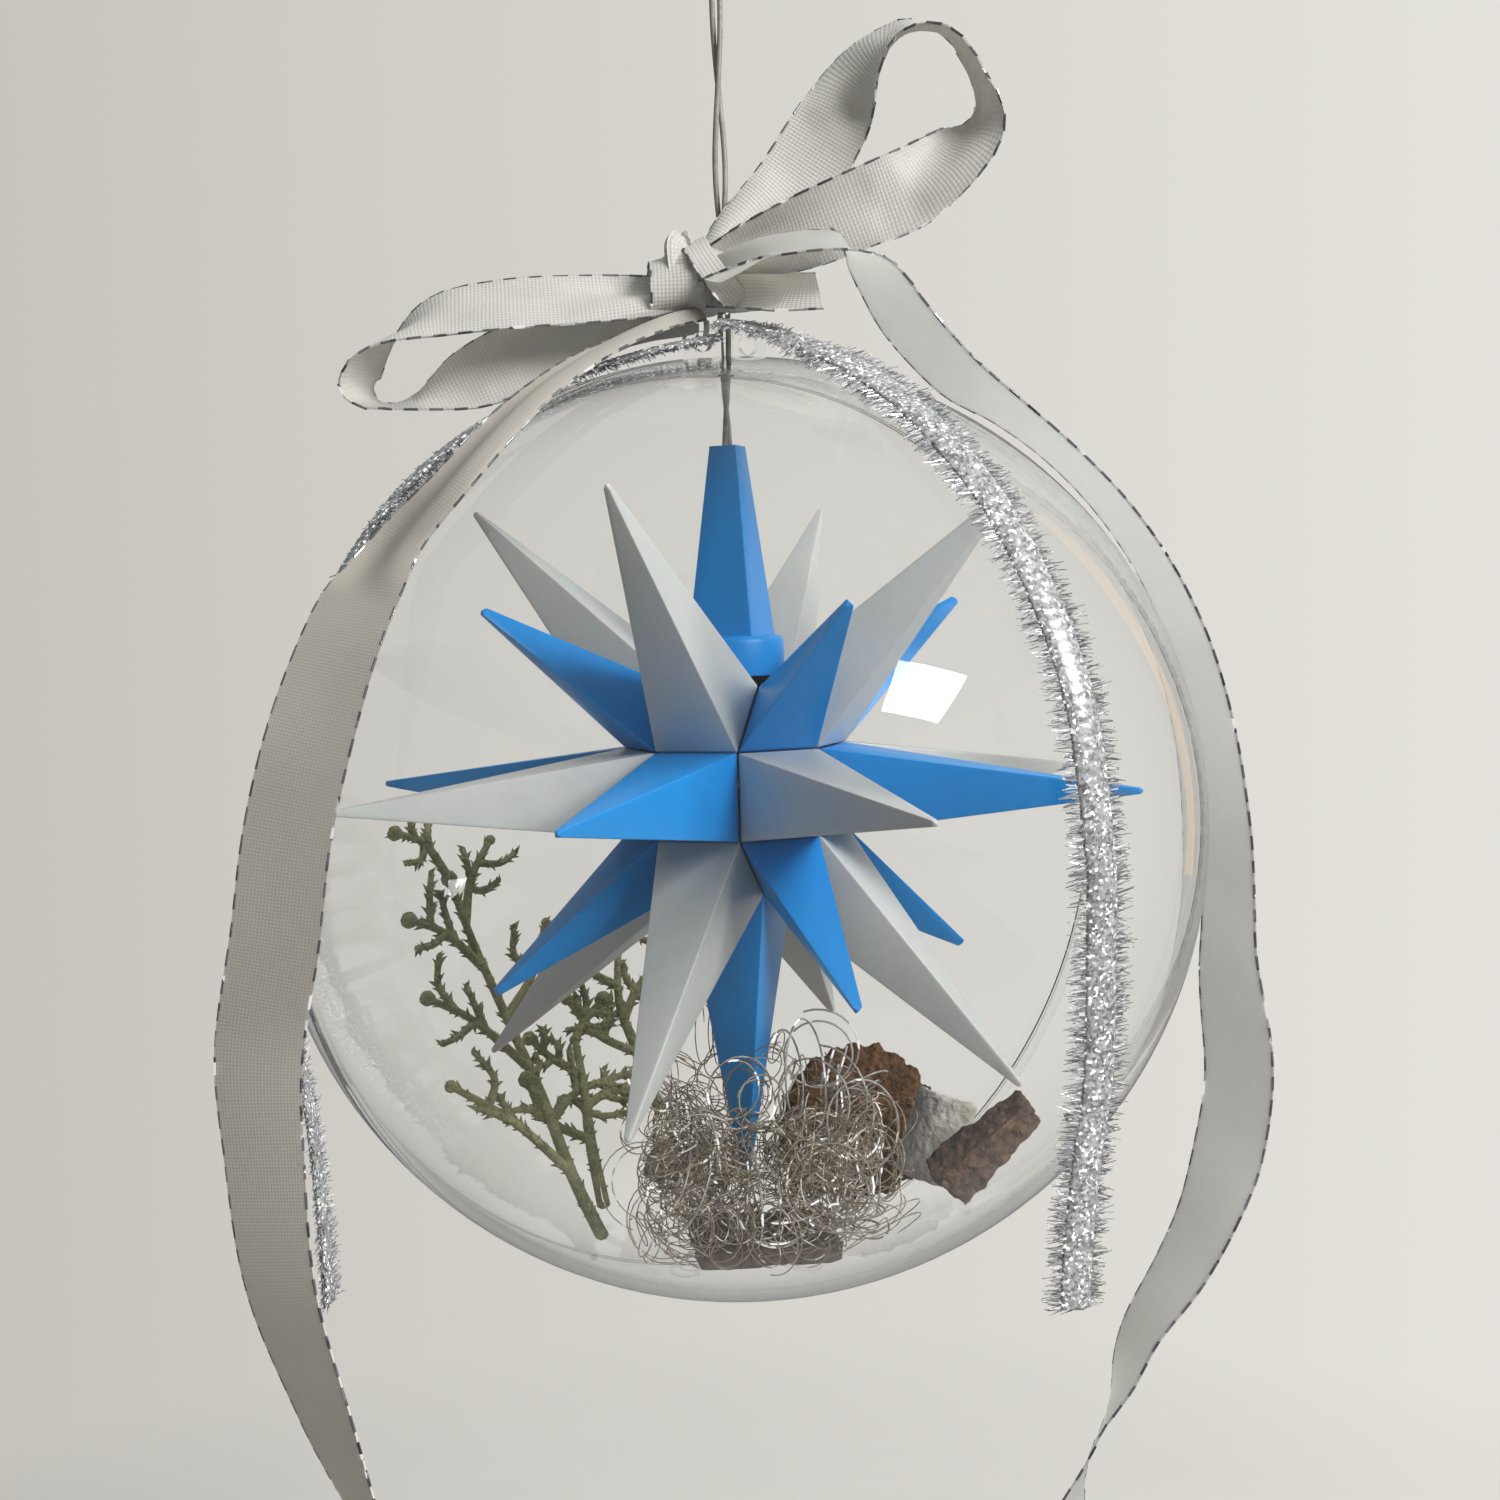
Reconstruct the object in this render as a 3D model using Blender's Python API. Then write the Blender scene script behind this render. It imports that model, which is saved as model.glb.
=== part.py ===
"""Star bauble: a lit star of hollow moulded points hung in a clear two-part ball, with a ribbon bow, tinsel braid and
dry trimmings. Metres, +Z up. The origin is the inside top of the hanging loop, and the cable hangs along -Z."""

import itertools
import math

import bmesh
import bpy
from mathutils import Matrix, Vector

MM = 0.001

# Driving dimensions
CLEARANCE = 0.3 * MM  # left between pieces that seat on or beside each other
HANG_TO_STAR = 141.0 * MM  # hanging loop down to the star's centre

STAR_LONG_RADIUS = 65.0 * MM  # centre to the tips of the square points
STAR_SHORT_RADIUS = 50.6 * MM  # centre to the tips of the three-sided points
STAR_BASE_EDGE = 13.8 * MM  # every base edge, shared by two points
STAR_TURN = math.radians(-110.8)  # azimuth of the first equator point
POINT_WALL = 1.0 * MM
POINT_FLANGE = 2.4 * MM  # mitred glue flange inside the base
POINT_TIP_WIDTH = 0.9 * MM
POINT_TIP_ROUND = 0.5 * MM

SPIRE_TOP = 54.2 * MM  # above the star's centre
SPIRE_TOP_WIDTH = 4.4 * MM
SPIRE_BASE_WIDTH = 11.2 * MM
COLLAR_DIAMETER = 16.5 * MM
COLLAR_HEIGHT = 6.3 * MM
COLLAR_ROUND = 1.2 * MM
SOCKET_NECK_DIAMETER = 8.6 * MM
SOCKET_NECK_LENGTH = 9.0 * MM
SOCKET_FLANGE_DIAMETER = 12.4 * MM
SOCKET_FLANGE_THICKNESS = 0.8 * MM
SOCKET_BODY_DIAMETER = 10.4 * MM
SOCKET_BODY_LENGTH = 10.5 * MM
LED_DIAMETER = 4.8 * MM
LED_LENGTH = 10.0 * MM
LED_SEAT_DEPTH = 3.5 * MM

BALL_RADIUS = 74.0 * MM
BALL_WALL = 1.8 * MM
BALL_DROP = 6.2 * MM  # ball's centre below the star's
SEAM_TURN = math.radians(27.8)  # front half's axis, turned from -Y
SEAM_TONGUE = 2.0 * MM  # how far the front half's inner lip reaches into the rear half
EAR_WIDTH = 6.0 * MM
EAR_HEIGHT = 5.4 * MM
EAR_THICKNESS = 1.6 * MM
EAR_ROOT = 0.55 * MM  # sunk into the wall that carries it
EAR_OFFSET = 4.6 * MM  # ear's middle from the cable, along the seam
EAR_EYE_DIAMETER = 3.2 * MM
CABLE_HOLE_DIAMETER = 3.0 * MM
SHELL_SEGMENTS = 36
SHELL_ARC_STEPS = 9

WIRE_DIAMETER = 0.85 * MM
WIRE_LAY_RADIUS = 0.62 * MM  # each wire's middle from the cable's axis
WIRE_LAY_PITCH = 50.0 * MM
WIRE_CROSSING_BELOW_LOOP = 31.0 * MM  # where one wire stands before the other
WIRE_SPREAD = 0.16 * MM  # how far the wires part where the lay is loose
WIRE_SPREAD_BELOW_LOOP = 45.0 * MM
WIRE_STEP = 2.2 * MM
SLEEVE_DIAMETER = 3.9 * MM
SLEEVE_LENGTH = 6.0 * MM
LOOP_RADIUS = 2.6 * MM  # inside the hanging loop
LOOP_LEG = 7.0 * MM  # loop's middle down to the sleeve's middle

RIBBON_WIDTH = 12.0 * MM
RIBBON_THICKNESS = 0.5 * MM
KNOT_SIZE = (14.8 * MM, 12.0 * MM, 11.2 * MM)
KNOT_OFFSET = (-4.0 * MM, -4.0 * MM)  # knot's middle from the cable
KNOT_WRAP_SIZE = (5.4 * MM, 13.2 * MM, 11.6 * MM)
KNOT_WRAP_TILT = math.radians(18)
TIE_DIAMETER = 1.0 * MM
TIE_BACK_REACH = 1.0 * MM  # behind the seam
TIE_FRONT_REACH = 2.9 * MM

TINSEL_CORE_WIDTH = 4.0 * MM
TINSEL_THICKNESS = 0.9 * MM
TINSEL_FRINGE = 2.9 * MM
TINSEL_PITCH = 1.7 * MM

SPRIG_DEPTH = 4.0 * MM  # sprigs lie this far in from the ball's inner face
SPRIG_STEM_RADIUS = 1.3 * MM
SPRIG_TWIG_RADIUS = 0.75 * MM
SPRIG_BUD_RADIUS = 1.3 * MM
CURL_WIRE_DIAMETER = 0.4 * MM
CURL_POINTS = 8  # along one curl
CURL_LEAST_GAP = 0.4 * MM
LOWER_CURL_RADIUS = 5.0 * MM
LOWER_CURL_RING = 10.5 * MM  # curls' middles from the cable
UPPER_CURL_RADIUS = 3.6 * MM
UPPER_CURL_RING = 9.5 * MM
FRONT_CURL_RADIUS = 4.6 * MM
FRONT_CURL_RING = 27.0 * MM
LEFT_BRANCH_LENGTH = 24.0 * MM
REAR_BRANCH_LENGTH = 17.0 * MM
BARK_BASE_SIZE = (23.0 * MM, 20.0 * MM, 3.8 * MM)
BARK_DISC_RADIUS = 14.5 * MM
BARK_DISC_THICKNESS = 4.5 * MM
BARK_DISC_TEETH = 21
CHUNK_SIZE = (19.0 * MM, 7.4 * MM, 6.4 * MM)
CHIP_SIZE = (11.0 * MM, 15.0 * MM, 1.6 * MM)
LICHEN_SIZE = (14.0 * MM, 11.0 * MM, 8.0 * MM)

# Sizes that follow from them
BALL_INSIDE = BALL_RADIUS - BALL_WALL
BALL_ROOM = BALL_INSIDE * math.cos(math.pi / SHELL_SEGMENTS) * math.cos(math.pi / (4 * SHELL_ARC_STEPS)) - CLEARANCE
SHELL_STEP_RADIUS = BALL_INSIDE + BALL_WALL / 2
CORE_NEAR = STAR_BASE_EDGE / 2
CORE_FAR = CORE_NEAR * (1 + math.sqrt(2))
KNOT_HEIGHT = BALL_RADIUS + EAR_HEIGHT + CLEARANCE + max(KNOT_SIZE[2], KNOT_WRAP_SIZE[2]) / 2
POINT_RECESS = 0.57 * CLEARANCE  # each base edge, so that two mitred neighbours stand CLEARANCE apart


def clear_scene():
    for old in list(bpy.data.objects):
        bpy.data.objects.remove(old)


def finish(name, colour, roughness, metallic=0.0, alpha=1.0):
    """A plain surface with the piece's own colour."""
    made = bpy.data.materials.new(name)
    made.use_nodes = True
    shader = made.node_tree.nodes["Principled BSDF"]
    shader.inputs["Base Color"].default_value = (*colour, 1.0)
    shader.inputs["Roughness"].default_value = roughness
    shader.inputs["Metallic"].default_value = metallic
    shader.inputs["Alpha"].default_value = alpha
    return made


def empty(name, location, parent=None):
    made = bpy.data.objects.new(name, None)
    made.location = location
    made.parent = parent
    bpy.context.scene.collection.objects.link(made)
    return made


def add_object(name, data, parent, surface):
    made = bpy.data.objects.new(name, data)
    made.parent = parent
    if surface:
        data.materials.append(surface)
    bpy.context.scene.collection.objects.link(made)
    return made


def add_mesh(name, bm, parent, surface, smooth=False):
    bmesh.ops.recalc_face_normals(bm, faces=bm.faces)
    mesh = bpy.data.meshes.new(name)
    bm.to_mesh(mesh)
    bm.free()
    if smooth:
        mesh.shade_smooth()
        mesh.set_sharp_from_angle(angle=math.radians(35))
    return add_object(name, mesh, parent, surface)


def helper(name, bm, parent):
    """A cutter or a shape to join on, which isn't a piece by itself."""
    made = add_mesh(name, bm, parent, None)
    made.hide_render = True
    made.display_type = "WIRE"
    return made


def combine(target, other, operation):
    step = target.modifiers.new(f"{operation.lower()} {other.name}", "BOOLEAN")
    step.operation = operation
    step.object = other


def loft(bm, rings, closed=True):
    """Side faces between successive rings of points."""
    made = [[bm.verts.new(point) for point in ring] for ring in rings]
    for low, high in zip(made, made[1:]):
        count = len(low)
        for i in range(count if closed else count - 1):
            bm.faces.new((low[i], low[(i + 1) % count], high[(i + 1) % count], high[i]))
    return made


def turned(profile, segments):
    """A solid of revolution about Z from (radius, height) points that start and end on the axis."""
    bm = bmesh.new()
    points = [bm.verts.new((radius, 0, height)) for radius, height in profile]
    edges = [bm.edges.new(pair) for pair in zip(points, points[1:])]
    bmesh.ops.spin(bm, geom=points + edges, axis=(0, 0, 1), angle=math.tau, steps=segments, use_merge=True)
    bmesh.ops.remove_doubles(bm, verts=bm.verts, dist=1e-6)
    return bm


def cylinder(radius, low, high, segments=20):
    return turned(((0, high), (radius, high), (radius, low), (0, low)), segments)


def ellipsoid(size, segments=14, rings=9):
    bm = bmesh.new()
    bmesh.ops.create_uvsphere(bm, u_segments=segments, v_segments=rings, radius=0.5)
    bmesh.ops.scale(bm, vec=size, verts=bm.verts)
    return bm


def spline(points, per_span):
    """Points read from a smooth curve through the route's own points."""
    points = [Vector(point) for point in points]
    ends = [2 * points[0] - points[1], *points, 2 * points[-1] - points[-2]]
    read = []
    for before, start, end, after in zip(ends, ends[1:], ends[2:], ends[3:]):
        for step in range(per_span):
            t = step / per_span
            read.append(
                0.5
                * (
                    2 * start
                    + (end - before) * t
                    + (2 * before - 5 * start + 4 * end - after) * t**2
                    + (3 * start - before - 3 * end + after) * t**3
                )
            )
    read.append(points[-1])
    return read


def wire(name, points, diameter, parent, surface, bevel_resolution=2):
    curve = bpy.data.curves.new(name, "CURVE")
    curve.dimensions = "3D"
    curve.bevel_depth = diameter / 2
    curve.bevel_resolution = bevel_resolution
    curve.use_fill_caps = True
    route = curve.splines.new("POLY")
    route.points.add(len(points) - 1)
    for slot, point in zip(route.points, points):
        slot.co = (*point, 1)
    return add_object(name, curve, parent, surface)


# The star


def core_corners():
    """Corners of the small rhombicuboctahedron whose faces are the bases of the points."""
    found = []
    for axis, signs in itertools.product(range(3), itertools.product((1, -1), repeat=3)):
        sizes = [CORE_NEAR] * 3
        sizes[axis] = CORE_FAR
        found.append(Vector(sign * size for sign, size in zip(signs, sizes)))
    return found


def base_corners(direction):
    """The corners of the face that looks along direction, in order round it."""
    corners = core_corners()
    reach = max(corner.dot(direction) for corner in corners)
    face = [corner for corner in corners if corner.dot(direction) > reach - 1e-6]
    middle = sum(face, Vector()) / len(face)
    side = (face[0] - middle).normalized()
    up = direction.cross(side)
    return middle, sorted(face, key=lambda corner: math.atan2((corner - middle).dot(up), (corner - middle).dot(side)))


def hollow_point(direction, tip_radius):
    """One moulded point: a thin pyramid, open at its base, with a flange mitred towards the star's centre."""
    middle, corners = base_corners(direction)
    base_radius = middle.length
    half_width = ((corners[0] + corners[1]) / 2 - middle).length
    outer_half = half_width - POINT_RECESS
    side_height = tip_radius - POINT_TIP_ROUND - base_radius
    taper = (outer_half - POINT_TIP_WIDTH / 2) / side_height
    inner_half = outer_half - POINT_WALL * math.hypot(1, taper)

    def ring(half, rise=0.0, towards_centre=1.0):
        share = half / half_width
        return [(middle + (corner - middle) * share) * towards_centre + direction * rise for corner in corners]

    flange = 1 - POINT_FLANGE / base_radius
    bm = bmesh.new()
    rings = loft(
        bm,
        (
            ring(inner_half),
            ring(inner_half, towards_centre=flange),
            ring(outer_half, towards_centre=flange),
            ring(outer_half),
            ring(POINT_TIP_WIDTH / 2, side_height),
        ),
    )
    for edge_ring, apex in (
        (rings[0], direction * (base_radius + inner_half / taper)),
        (rings[-1], direction * tip_radius),
    ):
        top = bm.verts.new(apex)
        for i, corner in enumerate(edge_ring):
            bm.faces.new((corner, edge_ring[(i + 1) % len(edge_ring)], top))
    return bm


def point_direction(step, elevation):
    azimuth = math.tau / 8 * step
    return Vector(
        (math.cos(elevation) * math.cos(azimuth), math.cos(elevation) * math.sin(azimuth), math.sin(elevation))
    )


def build_star(parent, blue, white):
    square_tilt = math.radians(45)
    corner_tilt = math.atan(1 / math.sqrt(2))
    for step in range(8):
        is_square = step % 2 == 0
        tilt = square_tilt if is_square else corner_tilt
        radius = STAR_LONG_RADIUS if is_square else STAR_SHORT_RADIUS
        ring_surface = white if is_square else blue
        for name, direction, tip, surface in (
            (f"equator_point_{step + 1}", point_direction(step, 0), STAR_LONG_RADIUS, blue if is_square else white),
            (f"upper_point_{step + 1}", point_direction(step, tilt), radius, ring_surface),
            (f"lower_point_{step + 1}", point_direction(step, -tilt), radius, ring_surface),
        ):
            add_mesh(name, hollow_point(direction, tip), parent, surface)
    add_mesh("bottom_point", hollow_point(Vector((0, 0, -1)), STAR_LONG_RADIUS), parent, blue)


# The lamp in the star's top


def collar_bottom():
    """The collar rests on the four upper square points that slope up beside the open top."""
    tip = STAR_LONG_RADIUS * math.sqrt(0.5)
    slope = (tip - CORE_FAR) / (tip - CORE_NEAR)
    return CORE_FAR + (COLLAR_DIAMETER / 2 - CORE_NEAR) * slope + CLEARANCE


def socket_top():
    return collar_bottom() + SOCKET_NECK_LENGTH


def build_lamp(parent, blue, black, clear):
    low = collar_bottom()
    high = low + COLLAR_HEIGHT
    radius = COLLAR_DIAMETER / 2
    rounding = [
        (radius - COLLAR_ROUND * (1 - math.cos(angle)), high - COLLAR_ROUND * (1 - math.sin(angle)))
        for angle in (math.radians(degrees) for degrees in (90, 60, 30, 0))
    ]
    cap = add_mesh("top_cap", turned([(0, high), *rounding, (radius, low), (0, low)], 32), parent, blue, smooth=True)

    spire = bmesh.new()
    spire_low = low + COLLAR_HEIGHT / 2
    bmesh.ops.create_cone(
        spire,
        cap_ends=True,
        segments=4,
        radius1=SPIRE_BASE_WIDTH * math.sqrt(0.5),
        radius2=SPIRE_TOP_WIDTH * math.sqrt(0.5),
        depth=SPIRE_TOP - spire_low,
        matrix=Matrix.Translation((0, 0, (SPIRE_TOP + spire_low) / 2)) @ Matrix.Rotation(math.radians(45), 4, "Z"),
    )
    combine(cap, helper("spire_shape", spire, parent), "UNION")

    beyond = 1.0 * MM
    neck_hole = SOCKET_NECK_DIAMETER / 2 + CLEARANCE
    neck_end = socket_top() + CLEARANCE
    cable_hole = CABLE_HOLE_DIAMETER / 2
    bore = [
        (0, SPIRE_TOP + beyond),
        (cable_hole, SPIRE_TOP + beyond),
        (cable_hole, neck_end),
        (neck_hole, neck_end),
        (neck_hole, low - beyond),
        (0, low - beyond),
    ]
    combine(cap, helper("cap_bore", turned(bore, 20), parent), "DIFFERENCE")

    flange_top = low - CLEARANCE
    flange_low = flange_top - SOCKET_FLANGE_THICKNESS
    body_low = flange_low - SOCKET_BODY_LENGTH
    seat = LED_DIAMETER / 2 + CLEARANCE
    socket = [
        (0, socket_top()),
        (SOCKET_NECK_DIAMETER / 2, socket_top()),
        (SOCKET_NECK_DIAMETER / 2, flange_top),
        (SOCKET_FLANGE_DIAMETER / 2, flange_top),
        (SOCKET_FLANGE_DIAMETER / 2, flange_low),
        (SOCKET_BODY_DIAMETER / 2, flange_low),
        (SOCKET_BODY_DIAMETER / 2, body_low),
        (seat, body_low),
        (seat, body_low + LED_SEAT_DEPTH),
        (0, body_low + LED_SEAT_DEPTH),
    ]
    add_mesh("lamp_socket", turned(socket, 24), parent, black, smooth=True)

    led_top = body_low + LED_SEAT_DEPTH - CLEARANCE
    led_radius = LED_DIAMETER / 2
    dome = led_top - LED_LENGTH + led_radius
    lens = [
        (led_radius * math.cos(angle), dome - led_radius * math.sin(angle))
        for angle in (math.radians(degrees) for degrees in (0, 30, 60, 90))
    ]
    add_mesh("led", turned([(0, led_top), (led_radius, led_top), *lens[:-1], (0, lens[-1][1])], 16), parent, clear, True)


# The clear ball


def arc(radius, start, end, steps):
    """(radius, height) points of a circle about the ball's centre, by angle from the seam plane."""
    return [
        (radius * math.cos(angle), radius * math.sin(angle))
        for angle in (start + (end - start) * step / steps for step in range(steps + 1))
    ]


def front_profile():
    pole = math.radians(90)
    lip = SHELL_STEP_RADIUS - CLEARANCE / 2
    outer = arc(BALL_RADIUS, pole, 0, SHELL_ARC_STEPS)
    inner = arc(BALL_INSIDE, 0, pole, SHELL_ARC_STEPS)
    step = [(lip, 0), (lip, -SEAM_TONGUE), (BALL_INSIDE, -SEAM_TONGUE)]
    return [(0, BALL_RADIUS), *outer[1:], *step, *inner[:-1], (0, BALL_INSIDE)]


def rear_profile():
    pole = math.radians(-90)
    lip = SHELL_STEP_RADIUS + CLEARANCE / 2
    seat = SEAM_TONGUE + CLEARANCE
    outer = arc(BALL_RADIUS, -math.asin(CLEARANCE / BALL_RADIUS), pole, SHELL_ARC_STEPS)
    inner = arc(BALL_INSIDE, pole, -math.asin(seat / BALL_INSIDE), SHELL_ARC_STEPS)
    step = [(lip, -seat), (lip, -CLEARANCE)]
    return [(0, -BALL_INSIDE), *inner[1:], *step, *outer[:-1], (0, -BALL_RADIUS)]


def ear_shape(side, front):
    """A rounded tab with its middle EAR_OFFSET beside the cable. Here Y is up and Z is the seam's normal."""
    half = EAR_WIDTH / 2
    low = BALL_RADIUS - EAR_ROOT
    turn = BALL_RADIUS + EAR_HEIGHT - half
    top = [(half * math.cos(angle), turn + half * math.sin(angle)) for angle in arc_angles(0, 180, 8)]
    outline = [(-half, low), (half, low), *top]
    near = CLEARANCE if front else -CLEARANCE - EAR_THICKNESS
    bm = bmesh.new()
    face = bm.faces.new(bm.verts.new((side * EAR_OFFSET + x, y, near)) for x, y in outline)
    grown = bmesh.ops.extrude_face_region(bm, geom=[face])
    bmesh.ops.translate(
        bm, vec=(0, 0, EAR_THICKNESS), verts=[part for part in grown["geom"] if isinstance(part, bmesh.types.BMVert)]
    )
    return bm


def arc_angles(start, end, steps):
    return [math.radians(start + (end - start) * step / steps) for step in range(steps + 1)]


def build_half(name, profile, side, front, parent, clear):
    shell = add_mesh(name, turned(profile, SHELL_SEGMENTS), parent, clear, smooth=True)
    ear = helper(f"{name}_ear", ear_shape(side, front), parent)
    reach = SEAM_TONGUE + EAR_THICKNESS + 2 * CLEARANCE
    eye = helper(f"{name}_eye", cylinder(EAR_EYE_DIAMETER / 2, -reach, reach), parent)
    eye.location = (side * EAR_OFFSET, BALL_RADIUS + EAR_HEIGHT - EAR_WIDTH / 2, 0)
    hole = helper(f"{name}_cable_hole", cylinder(CABLE_HOLE_DIAMETER / 2, -EAR_HEIGHT, EAR_HEIGHT), parent)
    hole.location = (0, BALL_RADIUS, 0)
    hole.rotation_euler = (math.radians(90), 0, 0)
    combine(shell, ear, "UNION")
    combine(shell, eye, "DIFFERENCE")
    combine(shell, hole, "DIFFERENCE")


def seam_place(along, out, height):
    """A place beside the cable: along the seam, out of the front, and up from the ball's centre."""
    turn = Matrix.Rotation(SEAM_TURN, 3, "Z")
    return turn @ Vector((along, -out, height))


# The cable


def lay_point(height, turn):
    """A wire's place in the twisted pair. The lay opens a little above the bow."""
    loose = math.exp(-(((height + WIRE_SPREAD_BELOW_LOOP) / (10 * MM)) ** 2))
    radius = WIRE_LAY_RADIUS + WIRE_SPREAD * loose
    angle = math.tau * (height + WIRE_CROSSING_BELOW_LOOP) / WIRE_LAY_PITCH + math.pi / 2 + turn
    return Vector((radius * math.cos(angle), radius * math.sin(angle), height))


def twisted_wires(names, low, high, parent, surface, bevel_resolution=2):
    """A pair of wires between two heights below the hanging loop. parent stands at the height's zero or below it."""
    count = max(2, round((high - low) / WIRE_STEP))
    for name, turn in zip(names, (0, math.pi)):
        points = [lay_point(low + (high - low) * i / count, turn) for i in range(count + 1)]
        drop = Vector((0, 0, parent.matrix_world.translation.z if parent.parent is None else parent_height(parent)))
        wire(name, [point - drop for point in points], WIRE_DIAMETER, parent, surface, bevel_resolution)


def parent_height(item):
    total = 0.0
    while item:
        total += item.location.z
        item = item.parent
    return total


def build_hanger(parent, pale, metal):
    ball_top = BALL_RADIUS - HANG_TO_STAR - BALL_DROP
    loop_middle = -LOOP_RADIUS
    sleeve_middle = loop_middle - LOOP_LEG
    twisted_wires(("cable_wire_a", "cable_wire_b"), ball_top, sleeve_middle - CLEARANCE, parent, pale)
    bore = WIRE_LAY_RADIUS + WIRE_DIAMETER / 2 + CLEARANCE
    outer = SLEEVE_DIAMETER / 2
    low, high = sleeve_middle - SLEEVE_LENGTH / 2, sleeve_middle + SLEEVE_LENGTH / 2
    waist = 0.82 * outer
    rings = [
        [(radius * math.cos(a), radius * math.sin(a), height) for a in arc_angles(0, 345, 23)]
        for radius, height in (
            (bore, low),
            (bore, high),
            (outer, high),
            (outer, high - SLEEVE_LENGTH / 4),
            (waist, sleeve_middle),
            (outer, low + SLEEVE_LENGTH / 4),
            (outer, low),
            (bore, low),
        )
    ]
    sleeve = bmesh.new()
    loft(sleeve, rings)
    bmesh.ops.remove_doubles(sleeve, verts=sleeve.verts, dist=1e-6)
    add_mesh("hanger_sleeve", sleeve, parent, metal, smooth=True)

    middle = LOOP_RADIUS + WIRE_DIAMETER / 2
    leg = WIRE_LAY_RADIUS
    start = sleeve_middle + CLEARANCE
    shoulder = loop_middle - 0.62 * middle
    right = [
        (leg, 0, start),
        (leg, 0, sleeve_middle + SLEEVE_LENGTH / 2),
        (0.72 * middle, 0, shoulder),
        (middle, 0, loop_middle + 0.1 * middle),
        (0.72 * middle, 0, loop_middle + 0.72 * middle),
    ]
    left = [(-x, y, z) for x, y, z in reversed(right)]
    wire("hanger_loop", spline([*right, (0, 0, loop_middle + middle), *left], 3), WIRE_DIAMETER, parent, pale)


def build_inner_cable(parent, pale):
    """The pair's drop inside the ball, from the ears to the lamp socket."""
    ball_top = BALL_RADIUS - HANG_TO_STAR - BALL_DROP
    low = socket_top() + CLEARANCE - HANG_TO_STAR
    twisted_wires(("inner_wire_a", "inner_wire_b"), low, ball_top - CLEARANCE, parent, pale, bevel_resolution=1)


# The ribbon


def from_ball(azimuth, elevation, clear):
    """A place outside the ball, in degrees about its centre and millimetres clear of it."""
    azimuth, elevation = math.radians(azimuth), math.radians(elevation)
    reach = BALL_RADIUS + clear * MM
    level = reach * math.cos(elevation)
    return Vector((level * math.cos(azimuth), level * math.sin(azimuth), reach * math.sin(elevation)))


def tangents(centres):
    count = len(centres)
    return [(centres[min(i + 1, count - 1)] - centres[max(i - 1, 0)]).normalized() for i in range(count)]


def strip(centres, acrosses):
    """A thin closed strip. Each across vector runs from its middle to one edge.
    Both faces are split along the same diagonals, so that they stay apart where the strip twists."""
    half_thickness = RIBBON_THICKNESS / 2
    rings = []
    for centre, across, along in zip(centres, acrosses, tangents(centres)):
        flat = across - along * across.dot(along)
        flat = flat.normalized() * across.length
        lift = along.cross(flat).normalized() * half_thickness
        rings.append([centre + flat + lift, centre - flat + lift, centre - flat - lift, centre + flat - lift])
    bm = bmesh.new()
    made = [[bm.verts.new(point) for point in ring] for ring in rings]
    for low, high in zip(made, made[1:]):
        bm.faces.new((low[0], low[1], high[1]))
        bm.faces.new((low[0], high[1], high[0]))
        bm.faces.new((low[2], low[3], high[2]))
        bm.faces.new((low[3], high[3], high[2]))
        bm.faces.new((low[1], low[2], high[2], high[1]))
        bm.faces.new((low[3], low[0], high[0], high[3]))
    bm.faces.new(made[0])
    bm.faces.new(made[-1])
    return bm


def bow_strip(stations, per_span=4):
    """Stations are x, y and height over the ball's top in millimetres, then across, in half widths."""
    top = Vector((0, 0, BALL_RADIUS))
    centres = spline([Vector(place) * MM + top for place, across in stations], per_span)
    half = RIBBON_WIDTH / 2
    return strip(centres, [across * half for across in spline([across for place, across in stations], per_span)])


def ball_route(stations, per_span):
    """Centres and across directions of a strip beside the ball. A roll of 0 lies flat on it."""
    centres = spline([from_ball(*station[:3]) for station in stations], per_span)
    rolls = [math.radians(value.x) for value in spline([(station[3], 0, 0) for station in stations], per_span)]
    directions = []
    for centre, along, roll in zip(centres, tangents(centres), rolls):
        out = (centre - along * centre.dot(along)).normalized()
        directions.append(along.cross(out) * math.cos(roll) + out * math.sin(roll))
    return centres, directions


def tail_strip(stations, per_span=3):
    centres, directions = ball_route(stations, per_span)
    shares = [value.x for value in spline([(station[4] if len(station) > 4 else 1, 0, 0) for station in stations], per_span)]
    half = RIBBON_WIDTH / 2
    return strip(centres, [direction * share * half for direction, share in zip(directions, shares)])


LEFT_LOOP = (
    ((-8, -5, 9.6), (0, 0.45, 0.22)),
    ((-13, -6, 9.2), (0, 0.72, 0.38)),
    ((-22, -7.5, 8.8), (0.05, 0.86, 0.5)),
    ((-34, -8.5, 8.2), (0.05, 0.82, 0.56)),
    ((-45, -8.5, 6.5), (0.15, 0.83, 0.53)),
    ((-53, -8, 2), (0.4, 0.88, 0.25)),
    ((-56.5, -7, -3), (0.35, 0.93, 0.1)),
    ((-54, -6, -6.3), (0.1, 0.99, 0.1)),
    ((-48, -5, -6), (-0.1, 0.95, 0.3)),
    ((-40, -4, -2.6), (-0.3, 0.5, 0.8)),
    ((-30, -3.2, 1.6), (-0.2, 0.25, 0.92)),
    ((-18, -2.4, 5.2), (-0.1, 0.2, 0.7)),
    ((-12, -2.2, 6.6), (0, 0.12, 0.5)),
    ((-8, -2.2, 7.6), (0, 0.1, 0.35)),
)
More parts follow.
